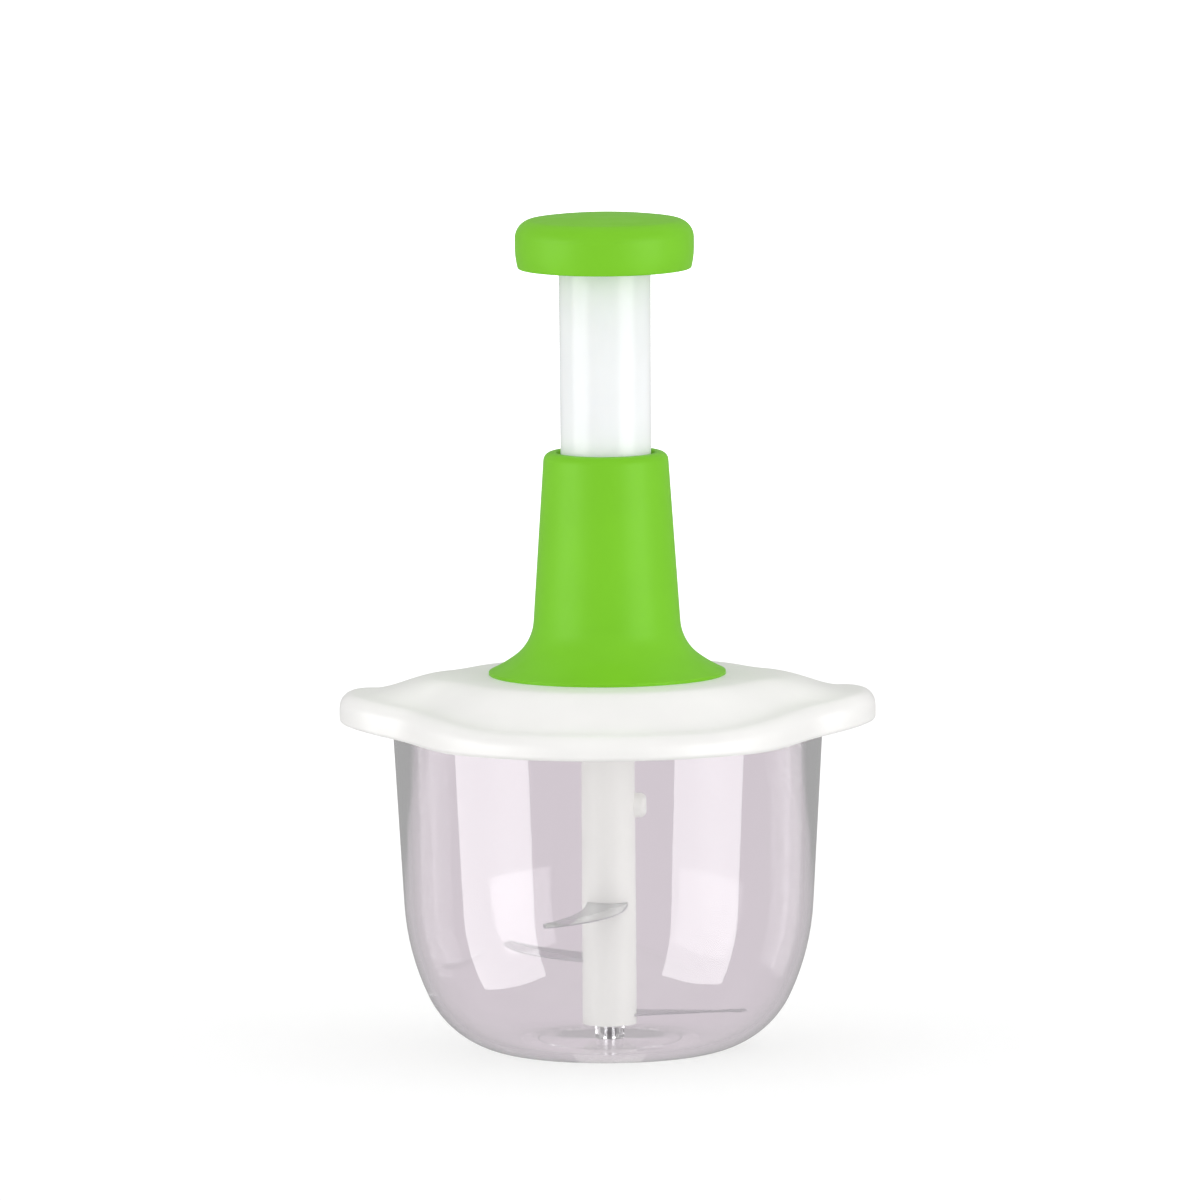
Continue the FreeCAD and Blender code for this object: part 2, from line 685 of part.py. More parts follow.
def closed_curve(points):
    """A smooth closed wire through points, evenly numbered so that wires loft together."""
    numbers = [index / len(points) for index in range(len(points) + 1)]
    curve = Part.BSplineCurve()
    curve.interpolate(points, PeriodicFlag=True, Parameters=numbers)
    return Part.Wire([curve.toShape()])


def lid_rings(inset):
    """Closed wires over the lid's skin, moved inwards by a distance.

    The first is the wavy hem. The rest run from the top of the side, round the top edge and
    up to the column's seat. The dome starts level, so its foot is hollow.
    """
    seat, seat_radius = value(SEAT) - inset, value("seat_radius")
    rounding, power, hollow = value("edge_round") - inset, value("dome_power"), value("dome_hollow")
    rim = outline(inset)
    rings = [[Vector(point.x, point.y, hem_height(point.x)) for point, _ in rim]]
    for turn in EDGE_TURNS:
        angle = math.radians(turn)
        edge = []
        for point, normal in rim:
            place = point - normal * rounding * (1 - math.cos(angle))
            height = edge_height(point.x) - inset - rounding * (1 - math.sin(angle))
            edge.append(Vector(place.x, place.y, height))
        rings.append(edge)
    shoulder = rings[-1]
    for share in DOME_SHARES:
        dome = []
        for point in shoulder:
            length = math.hypot(point.x, point.y)
            scale = (length + (seat_radius - length) * share) / length
            rise = (1 - (1 - share) ** power) * smooth(share / hollow)
            height = point.z + (seat - point.z) * rise
            dome.append(Vector(point.x * scale, point.y * scale, height))
        rings.append(dome)
    return [closed_curve(points) for points in rings]


def level_face(ring, radius, height):
    """A level face between a closed wire and a circle round the axis."""
    circle = Part.Wire([Part.makeCircle(radius, Vector(0, 0, height))])
    return Part.makeFace([ring, circle], "Part::FaceMakerBullseye")


def make_lid():
    """White lid: a thin domed shell with two ears, a flat seat and a hub under it."""
    outer, inner = lid_rings(0), lid_rings(value("lid_skin"))
    bore, hub_radius = value("tube_radius + loose_gap"), value("collar_radius")
    seat, ceiling, hub_foot = value(SEAT), value(CEILING), value(f"{COLLAR_TOP} + face_gap")
    hub = [
        Vector(hub_radius, 0, ceiling),
        Vector(hub_radius, 0, hub_foot),
        Vector(bore, 0, hub_foot),
        Vector(bore, 0, seat),
    ]
    faces = [
        *Part.makeLoft(outer[:2], False, True).Faces,
        *Part.makeLoft(inner[:2], False, True).Faces,
        *Part.makeLoft(outer[1:], False, False).Faces,
        *Part.makeLoft(inner[1:], False, False).Faces,
        *Part.makeLoft([outer[0], inner[0]], False, True).Faces,
        level_face(outer[-1], bore, seat),
        level_face(inner[-1], hub_radius, ceiling),
        *Part.makePolygon(hub).revolve(Vector(0, 0, 0), Vector(0, 0, 1), 360).Faces,
    ]
    shell = Part.makeShell(faces)
    shell.sewShape()
    blank = document.addObject("Part::Feature", "lid_blank")
    blank.Shape = Part.makeSolid(shell)
    drill = new_body("lid_drill", f"{CEILING} - lid_skin")
    drill.AllowCompound = True
    holes = new_sketch(drill, "XY_Plane")
    draw_circles(holes, "screw_hole_radius", "post_circle", COLUMN_POSTS, POST_TURN)
    pad(drill, holes, "4 * lid_skin")
    return cut("lid", blank, drill)


def plug_outer_radius():
    """The liner's plug ring clears the bowl's inner wall at its lowest point."""
    draft = "(wall_draft * 1 deg)"
    rim_radius = bowl_side("bowl_wall")[3][0]
    return f"({rim_radius} - plug_drop * tan{draft} - loose_gap)"


def make_rim_gasket():
    """Silicone ring that lies on the bowl's rim, under the liner's rim."""
    inner = f"({plug_outer_radius()} + fit_gap)"
    return ring("rim_gasket", "bowl_height", inner, f"{inner} + gasket_width", "gasket_height")


def make_lid_liner():
    """White liner on the food side of the lid, clamped by the column's screws.

    Its floor carries the bearing bush, its rim presses the gasket on the bowl, a plug ring
    centres it in the bowl, and four hollow posts hold it up against the lid's ceiling.
    """
    bore = f"({BEARING_BARREL} + fit_gap)"
    plug = f"{plug_outer_radius()}"
    plug_inner = f"({plug} - liner_wall)"
    plug_foot = f"(bowl_height - plug_drop - {LINER})"
    land = f"(bowl_height + gasket_height - {LINER})"
    body = new_body("lid_liner", LINER)
    revolve(body, [
        (bore, "0"),
        (f"{plug_inner} - liner_slope", "0"),
        (plug_inner, f"{land} - land_height / 2"),
        (plug_inner, plug_foot),
        (plug, plug_foot),
        (plug, land),
        (f"{plug} + land_width", land),
        (f"{plug} + land_width", f"{land} + land_height"),
        (plug, f"{land} + land_height"),
        (f"{plug} - liner_slope", "liner_wall"),
        (bore, "liner_wall"),
    ])
    ceiling = f"({CEILING} - {LINER})"
    posts = new_sketch(body, "XY_Plane")
    draw_circles(posts, "well_radius + liner_wall", "post_circle", COLUMN_POSTS, POST_TURN)
    pad(body, posts, ceiling)
    wells = new_sketch(body, "XY_Plane")
    draw_circles(wells, "well_radius", "post_circle", COLUMN_POSTS, POST_TURN)
    pocket(body, wells, f"{ceiling} - liner_wall", upwards=True)
    holes = new_sketch(body, "XY_Plane")
    draw_circles(holes, "screw_hole_radius", "post_circle", COLUMN_POSTS, POST_TURN)
    pocket(body, holes, ceiling, upwards=True)
    return body


def make_bearing_bush():
    """Flanged bush in the liner; the drive tube runs in it."""
    return turned("bearing_bush", LINER, [
        (BEARING_BORE, "0"),
        (BEARING_BARREL, "0"),
        (BEARING_BARREL, "liner_wall"),
        ("collar_radius", "liner_wall"),
        ("collar_radius", "liner_wall + bearing_flange"),
        (BEARING_BORE, "liner_wall + bearing_flange"),
    ])


# ---------------------------------------------------------------- column


def column_side(wall):
    """The column's flare from its base upwards, at a distance inside its outer face.

    Gives the end of the lower curve, the point where the curves meet and the neck.
    """
    draft = "(column_draft * 1 deg)"
    turn = "((column_draft + flare_sweep) * 1 deg)"
    centre_x = f"(neck_radius + flare_radius * cos{draft})"
    centre_z = f"(neck_height + flare_radius * sin{draft})"
    skirt_x = f"({centre_x} + (skirt_radius - flare_radius) * cos{turn})"
    skirt_z = f"({centre_z} + (skirt_radius - flare_radius) * sin{turn})"
    upper, lower = f"(flare_radius + {wall})", f"(skirt_radius + {wall})"
    return {
        "lower": lower,
        "upper": upper,
        "centre": (skirt_x, skirt_z),
        "meet": (f"({centre_x} - {upper} * cos{turn})", f"({centre_z} - {upper} * sin{turn})"),
        "neck": (f"({centre_x} - {upper} * cos{draft})", f"({centre_z} - {upper} * sin{draft})"),
    }


def make_column():
    """Green column: flared foot, drafted wall, ring seat, lipped mouth and screw posts."""
    draft = "(column_draft * 1 deg)"
    outside, inside = column_side("0"), column_side("column_wall")
    centre_x, centre_z = outside["centre"]
    edge_z = f"({centre_z} - sqrt(skirt_radius ^ 2 - ({centre_x} - column_base) ^ 2))"
    foot_x = f"({centre_x} - sqrt({inside['lower']} ^ 2 - {centre_z} ^ 2))"
    top = f"({MOUTH} - {SEAT})"
    mouth_x = f"({outside['neck'][0]} - ({top} - {outside['neck'][1]}) * tan{draft})"
    ring_foot = f"({RING} - {SEAT})"
    ring_seat = f"({RING_RADIUS} + fit_gap)"
    inner_x = f"({inside['neck'][0]} - ({ring_foot} - {inside['neck'][1]}) * tan{draft})"
    body = new_body("column", SEAT)
    tower = revolve(body, [
        (foot_x, "0"),
        ("column_base", "0"),
        ("column_base", edge_z, "skirt_radius", HOLLOW),
        (*outside["meet"], "flare_radius", HOLLOW),
        outside["neck"],
        (mouth_x, top),
        ("mouth_radius", top),
        ("mouth_radius", f"{top} - mouth_lip"),
        (ring_seat, f"{top} - mouth_lip"),
        (ring_seat, ring_foot),
        (inner_x, ring_foot),
        (*inside["neck"], inside["upper"], CONVEX),
        (*inside["meet"], inside["lower"], CONVEX),
    ])
    rounded = dress(body, "Fillet", tower, circle_at(mouth_x, top), Radius="mouth_round")
    dress(body, "Fillet", rounded, circle_at("mouth_radius", top), Radius="mouth_round / 4")
    posts = new_sketch(body, "XY_Plane")
    draw_circles(posts, "post_radius", "post_circle", COLUMN_POSTS, POST_TURN)
    pad(body, posts, "post_height")
    pilots = new_sketch(body, "XY_Plane")
    draw_circles(pilots, "pilot_radius", "post_circle", COLUMN_POSTS, POST_TURN)
    pocket(body, pilots, "thread_length + face_gap", upwards=True)
    return body


def make_guide_ring():
    """White ring in the column's mouth that guides the plunger tube."""
    return ring("guide_ring", RING, RING_BORE, RING_RADIUS, "ring_length")


def make_screws(label, seat, reach, circle, count, turn=0):
    """Pan-head screws, heads down, in a circle; each is a solid of its own."""
    body = new_body(label, seat)
    body.AllowCompound = True
    shanks = new_sketch(body, "XY_Plane", "-screw_head_height")
    draw_circles(shanks, "screw_radius", circle, count, turn)
    pad(body, shanks, f"{reach} + screw_head_height")
    heads = new_sketch(body, "XY_Plane", "-screw_head_height")
    draw_circles(heads, "screw_head_radius", circle, count, turn)
    caps = pad(body, heads, "screw_head_height")
    head_radius, bottom = value("screw_head_radius"), value("-screw_head_height")

    def head_edge(edge):
        if not isinstance(edge.Curve, Part.Circle) or abs(edge.BoundBox.ZMax - bottom) > NEAR:
            return False
        return abs(edge.Curve.Radius - head_radius) < NEAR

    dress(body, "Fillet", caps, head_edge, Radius="screw_head_height / 2")
    return body


def make_column_screws():
    """Four screws that clamp the liner, the lid and the column together."""
    seat = f"{CEILING} - liner_wall"
    reach = "(liner_wall + lid_skin + thread_length)"
    return make_screws("column_screws", seat, reach, "post_circle", COLUMN_POSTS, POST_TURN)


# ---------------------------------------------------------------- drive rotor


def make_thrust_washer():
    """Steel washer between the bearing bush and the drive tube's collar."""
    return ring("thrust_washer", WASHER, BEARING_BORE, "collar_radius", "washer_height")


def make_drive_tube():
    """Hollow tube with a thrust collar, a seat for the nut and two key notches at its top."""
    length = f"({TUBE_TOP} - {TUBE_FOOT})"
    collar = f"({COLLAR} - {TUBE_FOOT})"
    nut_seat = f"({NUT_FOOT} - {TUBE_FOOT})"
    nut_bore = "(nut_radius + fit_gap)"
    body = new_body("drive_tube_blank", TUBE_FOOT)
    revolve(body, [
        ("tube_bore", "0"),
        ("tube_radius", "0"),
        ("tube_radius", collar),
        ("collar_radius", collar),
        ("collar_radius", f"{collar} + collar_height"),
        ("tube_radius", f"{collar} + collar_height"),
        ("tube_radius", length),
        (nut_bore, length),
        (nut_bore, nut_seat),
        ("tube_bore", nut_seat),
    ])
    notch = new_sketch(body, "XZ_Plane")
    half = "(key_width / 2 + fit_gap)"
    low = f"({length} - key_height - fit_gap)"
    open_end = f"{length} + 1"
    draw_loop(notch, [(f"-{half}", low), (half, low), (half, open_end), (f"-{half}", open_end)])
    pocket(body, notch, "4 * tube_radius", midplane=True)
    pin_hole = rod("tube_pin_hole", "cross_pin_radius + fit_gap", "4 * tube_radius", CROSS_PIN, "X")
    return cut("drive_tube", body, pin_hole)


def make_drive_socket():
    """Socket with a cup for the drive tube above and a hexagon for the blade shaft below."""
    length = "(socket_cup + socket_web + socket_depth)"
    cup = "(tube_radius + fit_gap)"
    blank = new_body("drive_socket_blank", f"{HEX_CEILING} - socket_depth")
    revolve(blank, [
        ("0", "0"),
        ("socket_radius", "0"),
        ("socket_radius", length),
        (cup, length),
        (cup, f"{length} - socket_cup"),
        ("0", f"{length} - socket_cup"),
    ])
    hole = new_sketch(blank, "XY_Plane")
    draw_hexagon(hole, "(hex_flats / 2 + hex_gap)")
    pocket(blank, hole, "socket_depth", upwards=True)
    pin_hole = rod("socket_pin_hole", "cross_pin_radius + fit_gap", "4 * tube_radius", CROSS_PIN, "X")
    return cut("drive_socket", blank, pin_hole)


def make_socket_pin():
    """Steel cross pin through the socket's cup and the foot of the drive tube."""
    return rod("socket_pin", "cross_pin_radius", "2 * socket_radius - face_gap", CROSS_PIN, "X")


def make_strip(name, gap):
    """The twisted strip, or the twisted slot that it runs in with a gap all round.

    It hangs from the anchor pin, so its flat lies along X at that pin's height.
    """
    length = f"({KNOB} + holder_length - {STRIP_END})"
    spine = document.addObject("Part::Helix", f"{name}_helix")
    bind(spine, Pitch="strip_pitch", Height=f"{length} + 2 * ({gap})", Radius="strip_width / 2")
    section = document.addObject("Part::Plane", f"{name}_section")
    bind(section, Length=f"strip_width + 2 * ({gap})", Width=f"strip_thickness + 2 * ({gap})")
    bind(section, Placement_Base_x=f"-strip_width / 2 - ({gap})")
    bind(section, Placement_Base_y=f"-strip_thickness / 2 - ({gap})")
    document.recompute()
    strip = document.addObject("Part::Sweep", name)
    strip.Label = name
    strip.Sections = [section]
    strip.Spine = (spine, ["Edge1"])
    strip.Solid = True
    strip.Frenet = True
    turn = f"-360 * ({KNOB} + anchor_level - {STRIP_END} + ({gap})) / strip_pitch * 1 deg"
    bind(strip, Placement_Base_z=f"{STRIP_END} - ({gap})", Placement_Rotation_Angle=turn)
    document.recompute()
    return strip


def make_drive_nut(slot):
    """Nut with the twisted slot and two keys, seated in the top of the drive tube."""
    blank = new_body("drive_nut_blank", NUT_FOOT)
    whole = "(nut_length + nut_flange)"
    revolve(blank, [
        ("0", "0"),
        ("nut_radius", "0"),
        ("nut_radius", "nut_length"),
        ("tube_radius", "nut_length"),
        ("tube_radius", whole),
        ("0", whole),
    ])
    key = new_sketch(blank, "XZ_Plane")
    half, low = "(key_width / 2)", "(nut_length - key_height)"
    draw_loop(key, [(f"-{half}", low), (half, low), (half, "nut_length"), (f"-{half}", "nut_length")])
    pad(blank, key, "2 * (tube_radius - fit_gap)", midplane=True)
    return cut("drive_nut", blank, slot)


# ---------------------------------------------------------------- plunger


def make_plunger_tube():
    """White tube: stop flange below, slight taper, clip groove and pin hole at the top."""
    length = f"({KNOB} + press_tube_top - {PRESS_FOOT})"
    groove = f"({KNOB} + base_plate_inset + base_plate_height - {PRESS_FOOT})"
    groove_top = f"({groove} + clip_height + 2 * fit_gap)"
    taper_end = f"({KNOB} - {PRESS_FOOT})"
    body = new_body("plunger_tube_blank", PRESS_FOOT)
    revolve(body, [
        ("press_tube_bore", "0"),
        ("flange_radius", "0"),
        ("flange_radius", "flange_height"),
        ("press_tube_foot", "flange_height"),
        ("press_tube_radius", taper_end),
        ("press_tube_radius", groove),
        (CLIP_SEAT, groove),
        (CLIP_SEAT, groove_top),
        ("press_tube_radius", groove_top),
        ("press_tube_radius", length),
        ("press_tube_bore", length),
    ])
    hole = rod("tube_anchor_hole", "anchor_radius + fit_gap", "4 * press_tube_radius", ANCHOR, "Y")
    return cut("plunger_tube", body, hole)


def make_strip_holder(slot):
    """Plug in the plunger tube's top with a slot for the strip and a hole for its pin."""
    blank = turned("strip_holder_blank", KNOB, [
        ("0", "0"),
        ("press_tube_bore - fit_gap", "0"),
        ("press_tube_bore - fit_gap", "holder_length"),
        ("0", "holder_length"),
    ])
    hole = rod("holder_anchor_hole", "anchor_radius + fit_gap", "4 * press_tube_radius", ANCHOR, "Y")
    return cut("strip_holder", cut("strip_holder_slotted", blank, slot), hole)


def make_drive_strip(strip):
    """Twisted steel strip with the hole for its anchor pin."""
    hole = rod("strip_anchor_hole", "anchor_radius + fit_gap", "4 * press_tube_radius", ANCHOR, "Y")
    return cut("drive_strip", strip, hole)


def make_strip_anchor_pin():
    """Steel pin through tube, plug and strip, kept in by the knob's hub."""
    return rod("strip_anchor_pin", "anchor_radius", "2 * press_tube_radius - face_gap", ANCHOR, "Y")


def make_retaining_clip():
    """Open steel ring in the tube's groove, between base plate and hub."""
    inner = f"({CLIP_SEAT} + fit_gap)"
    outer = f"({CLIP_SEAT} + clip_width)"
    body = new_body("retaining_clip", f"{KNOB} + base_plate_inset + base_plate_height + fit_gap")
    revolve(body, [(inner, "0"), (outer, "0"), (outer, "clip_height"), (inner, "clip_height")])
    mouth = new_sketch(body, "XY_Plane", turn="clip_mouth")
    wedge = f"2 * {outer} * tan(clip_mouth / 2 * 1 deg)"
    draw_loop(mouth, [("0", "0"), (f"2 * {outer}", f"-({wedge})"), (f"2 * {outer}", wedge)])
    pocket(body, mouth, "clip_height", upwards=True)
    return body


def knob_shell():
    """The knob's section: bulging side, rounded shoulder and a shallow crown, one wall thick."""
    crown_z = "(knob_height - knob_crown)"
    shoulder_x = "(knob_radius - knob_shoulder)"
    lean = f"asin({shoulder_x} / (knob_crown - knob_shoulder))"
    shoulder_z = f"({crown_z} + (knob_crown - knob_shoulder) * cos({lean}))"
    meet_x = f"({shoulder_x} + knob_shoulder * sin({lean}))"
    meet_z = f"({shoulder_z} + knob_shoulder * cos({lean}))"
    inner_shoulder = "(knob_shoulder - knob_wall)"
    inner_x = f"({shoulder_x} + {inner_shoulder} * sin({lean}))"
    inner_z = f"({shoulder_z} + {inner_shoulder} * cos({lean}))"
    inside = "(knob_radius - knob_wall)"
    return [
        (inside, "0"),
        ("knob_radius - knob_tuck", "0", "knob_side_radius", CONVEX),
        ("knob_radius", "knob_waist"),
        ("knob_radius", shoulder_z, "knob_shoulder", CONVEX),
        (meet_x, meet_z, "knob_crown", CONVEX),
        ("0", "knob_height"),
        ("0", "knob_height - knob_wall", "(knob_crown - knob_wall)", HOLLOW),
        (inner_x, inner_z, inner_shoulder, HOLLOW),
        (inside, shoulder_z),
    ]


def make_knob():
    """Green knob: hollow shell with a hub round the tube and three screw posts."""
    body = new_body("knob", KNOB)
    revolve(body, knob_shell())
    hub_foot = "(base_plate_inset + base_plate_height + clip_height + face_gap)"
    crown = "(knob_height - knob_wall)"
    hub = new_sketch(body, "XY_Plane", hub_foot)
    draw_circle(hub, "press_tube_radius + fit_gap + hub_wall")
    draw_circle(hub, "press_tube_radius + fit_gap")
    pad(body, hub, f"{crown} - {hub_foot}")
    plate_top = "(base_plate_inset + base_plate_height)"
    posts = new_sketch(body, "XY_Plane", plate_top)
    draw_circles(posts, "post_radius", "knob_post_circle", KNOB_POSTS, 90)
    pad(body, posts, f"{crown} - {plate_top}")
    pilots = new_sketch(body, "XY_Plane", plate_top)
    draw_circles(pilots, "pilot_radius", "knob_post_circle", KNOB_POSTS, 90)
    pocket(body, pilots, "thread_length + face_gap", upwards=True)
    return body


def make_knob_base_plate():
    """Green plate that closes the knob, with sunk screw heads."""
    body = new_body("knob_base_plate", f"{KNOB} + base_plate_inset")
    outer = "(knob_radius - knob_wall - run_gap)"
    inner = "(press_tube_radius + fit_gap)"
    revolve(body, [
        (inner, "0"), (outer, "0"), (outer, "base_plate_height"), (inner, "base_plate_height"),
    ])
    holes = new_sketch(body, "XY_Plane")
    draw_circles(holes, "screw_hole_radius", "knob_post_circle", KNOB_POSTS, 90)
    pocket(body, holes, "base_plate_height", upwards=True)
    sinks = new_sketch(body, "XY_Plane")
    draw_circles(sinks, "screw_head_radius + run_gap", "knob_post_circle", KNOB_POSTS, 90)
    pocket(body, sinks, "screw_head_height", upwards=True)
    return body


def make_knob_screws():
    """Three screws from below through the base plate into the knob's posts."""
    seat = f"{KNOB} + base_plate_inset + screw_head_height"
    reach = "(base_plate_height - screw_head_height + thread_length)"
    return make_screws("knob_screws", seat, reach, "knob_post_circle", KNOB_POSTS, 90)


def make_spring_washer():
    """Steel washer between the spring and the strip's plug."""
    inner = "(strip_width / 2 + loose_gap)"
    return ring("spring_washer", SPRING_TOP, inner, "press_tube_bore - loose_gap", "washer_height")


def make_spring_seat():
    """Ring on the lid that seats the spring round the drive tube."""
    inner = "(tube_radius + loose_gap)"
    lip = "(coil_radius - wire_radius - face_gap)"
    outer = "(press_tube_bore - loose_gap)"
    return turned("spring_seat", SEAT, [
        (inner, "0"),
        (outer, "0"),
        (outer, "spring_seat_height"),
        (lip, "spring_seat_height"),
        (lip, "spring_seat_height + spring_seat_lip"),
        (inner, "spring_seat_height + spring_seat_lip"),
    ])


def make_return_spring():
    """Open coil spring round the drive tube, inside the plunger tube."""
    span = f"({SPRING_TOP} - {SPRING_FOOT} - 2 * wire_radius)"
    spine = document.addObject("Part::Helix", "spring_helix")
    bind(spine, Pitch=f"{span} / coil_count", Height=span, Radius="coil_radius")
    wire = document.addObject("Part::Circle", "spring_wire")
    wire.Placement = Placement(Vector(0, 0, 0), Rotation(Vector(1, 0, 0), 90))
    bind(wire, Radius="wire_radius", Placement_Base_x="coil_radius")
    document.recompute()
    spring = document.addObject("Part::Sweep", "return_spring")
    spring.Label = "return_spring"
    spring.Sections = [wire]
    spring.Spine = (spine, ["Edge1"])
    spring.Solid = True
    spring.Frenet = True
    bind(spring, Placement_Base_z=f"{SPRING_FOOT} + wire_radius")
    document.recompute()
    return spring


def make_all():
    """Every sub-part, from the table upwards."""
    strip = make_strip("drive_strip_blank", "0")
    slot = make_strip("strip_slot", "slot_gap")
    return [
        make_bowl(),
        make_pivot_pin(),
        make_blade_shaft(),
        make_shaft_bush(),
        *[make_blade(*blade) for blade in BLADES],
        make_lid(),
        make_rim_gasket(),
        make_lid_liner(),
        make_bearing_bush(),
        make_column(),
        make_guide_ring(),
        make_column_screws(),
        make_spring_seat(),
        make_return_spring(),
        make_thrust_washer(),
        make_drive_tube(),
        make_drive_socket(),
        make_socket_pin(),
        make_drive_nut(slot),
        make_drive_strip(strip),
        make_plunger_tube(),
        make_strip_holder(slot),
        make_strip_anchor_pin(),
        make_retaining_clip(),
        make_knob(),
        make_knob_base_plate(),
        make_knob_screws(),
        make_spring_washer(),
    ]


def check(parts):
    """Stop if an object of the document failed or a sub-part's shape isn't sound."""
    for item in document.Objects:
        if "Invalid" in item.State or "Error" in item.State:
            raise ValueError(f"{item.Label} failed to recompute")
    for part in parts:
        if part.Shape.isNull() or not part.Shape.isValid() or not part.Shape.Solids:
            raise ValueError(f"{part.Label} has no valid solid")


def export(parts):
    """Write each sub-part to a file named by its node."""
    os.makedirs("parts", exist_ok=True)
    for part in parts:
        part.Shape.exportStep(f"parts/{part.Label}.step")
        print(f"{part.Label}: {len(part.Shape.Solids)} solid(s), {part.Shape.Volume:.1f} mm3")


sub_parts = make_all()
document.recompute()
check(sub_parts)
export(sub_parts)
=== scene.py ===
from math import asin, atan2, ceil, copysign, cos, hypot, pi, radians, sin, sqrt, tan, tau

import bmesh
import bpy
from mathutils import Matrix, Vector


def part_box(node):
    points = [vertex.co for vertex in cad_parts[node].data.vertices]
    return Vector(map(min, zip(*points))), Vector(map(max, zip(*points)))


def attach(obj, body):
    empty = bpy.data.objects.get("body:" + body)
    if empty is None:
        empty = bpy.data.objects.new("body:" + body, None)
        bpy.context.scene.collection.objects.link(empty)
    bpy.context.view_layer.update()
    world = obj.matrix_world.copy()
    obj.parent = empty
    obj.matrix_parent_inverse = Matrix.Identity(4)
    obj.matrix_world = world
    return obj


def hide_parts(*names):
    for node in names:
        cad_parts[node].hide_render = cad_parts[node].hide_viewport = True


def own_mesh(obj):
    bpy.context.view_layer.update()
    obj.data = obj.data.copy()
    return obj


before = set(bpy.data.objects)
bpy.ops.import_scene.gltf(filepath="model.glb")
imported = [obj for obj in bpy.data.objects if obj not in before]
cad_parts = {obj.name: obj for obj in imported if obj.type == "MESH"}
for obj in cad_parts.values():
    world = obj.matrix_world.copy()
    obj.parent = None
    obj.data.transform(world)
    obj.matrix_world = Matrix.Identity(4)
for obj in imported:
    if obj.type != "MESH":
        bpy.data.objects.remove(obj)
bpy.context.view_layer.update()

# Press-down food chopper: a clear bowl, a white lid with two ears, a green column with its
# plunger and knob, and a rotor with three blades. Metres; the origin is the middle of the
# bowl's foot on the table, +Z points up to the knob and the lid's ears lie along X.

bl_info = {
    "name": "Plunger Food Chopper",
    "version": (1, 0, 0),
    "blender": (4, 5, 0),
    "location": "View3D > Sidebar > Chopper",
    "description": "Models the visible pieces of a plunger food chopper and gives each its finish",
    "category": "Add Mesh",
}

MM = 0.001
TURN_STEPS = 144  # faces round a turned piece
ARC_STEP = radians(3)  # longest piece of an arc in a profile
SAME_PLACE = 1e-6  # points closer than this are one
SAME_RING = 0.02 * MM  # an edge this close to a ring belongs to it
WHITE = (1, 1, 1, 1)
SHADE_SEEN_THROUGH = "#DBD3D9"  # painted shade: a lilac grey that floor and world show only to rays through clear plastic, where the camera sees white


# ---------------- sizes and colours


def linear(code):
    """An sRGB hex colour as linear red, green and blue."""
    channels = [int(code[index:index + 2], 16) / 255 for index in (1, 3, 5)]
    return tuple(c / 12.92 if c <= 0.04045 else ((c + 0.055) / 1.055) ** 2.4 for c in channels)


def length(name, meaning, millimetres):
    """A length that a user can change in the sidebar."""
    return bpy.props.FloatProperty(
        name=name, description=meaning, default=millimetres * MM, min=0,
        subtype="DISTANCE", unit="LENGTH", precision=5,
    )


def angle(name, meaning, degrees):
    """An angle that a user can change in the sidebar."""
    return bpy.props.FloatProperty(
        name=name, description=meaning, default=radians(degrees), subtype="ANGLE", unit="ROTATION",
    )


def factor(name, meaning, number, low, high):
    """A plain number that a user can change in the sidebar."""
    return bpy.props.FloatProperty(
        name=name, description=meaning, default=number, min=low, max=high, subtype="FACTOR",
    )


def colour(name, meaning, code):
    """A colour that a user can change in the sidebar."""
    return bpy.props.FloatVectorProperty(
        name=name, description=meaning, default=linear(code), size=3, min=0, max=1, subtype="COLOR",
    )


class ChopperBowlSizes(bpy.types.PropertyGroup):
    """Sizes of the clear bowl."""

    foot_radius: length("Foot", "Radius of the bowl's flat foot", 29.1)
    foot_ring: length("Foot ring", "Width of the ring that touches the table", 6)
    foot_recess: length("Foot recess", "Depth of the recess inside that ring", 0.7)
    gate_radius: length("Gate mark", "Radius of the moulding gate's dimple", 1.6)
    gate_depth: length("Gate depth", "Depth of that dimple", 0.25)
    corner_radius: length("Corner", "Radius of the curve between foot and belly", 32.35)
    corner_sweep: angle("Corner sweep", "Angle that this curve turns", 64.9)
    belly_radius: length("Belly", "Radius of the curve between corner and straight wall", 80.5)
    wall_draft: angle("Wall draft", "Outward lean of the straight wall", 3.3)
    wall: length("Wall", "Thickness of the bowl's wall and floor", 2.5)
    rim_round: length("Rim rounding", "Rounding of the rim and the foot ring", 0.6)
    boss_radius: length("Boss", "Radius of the boss that holds the pivot pin", 4.6)
    boss_height: length("Boss height", "Height of that boss above the bowl's floor", 5)
    pin_seat: length("Pin seat", "Depth of the pin's hole in the boss", 6)
    pin_radius: length("Pin hole", "Radius of that hole", 2.05)


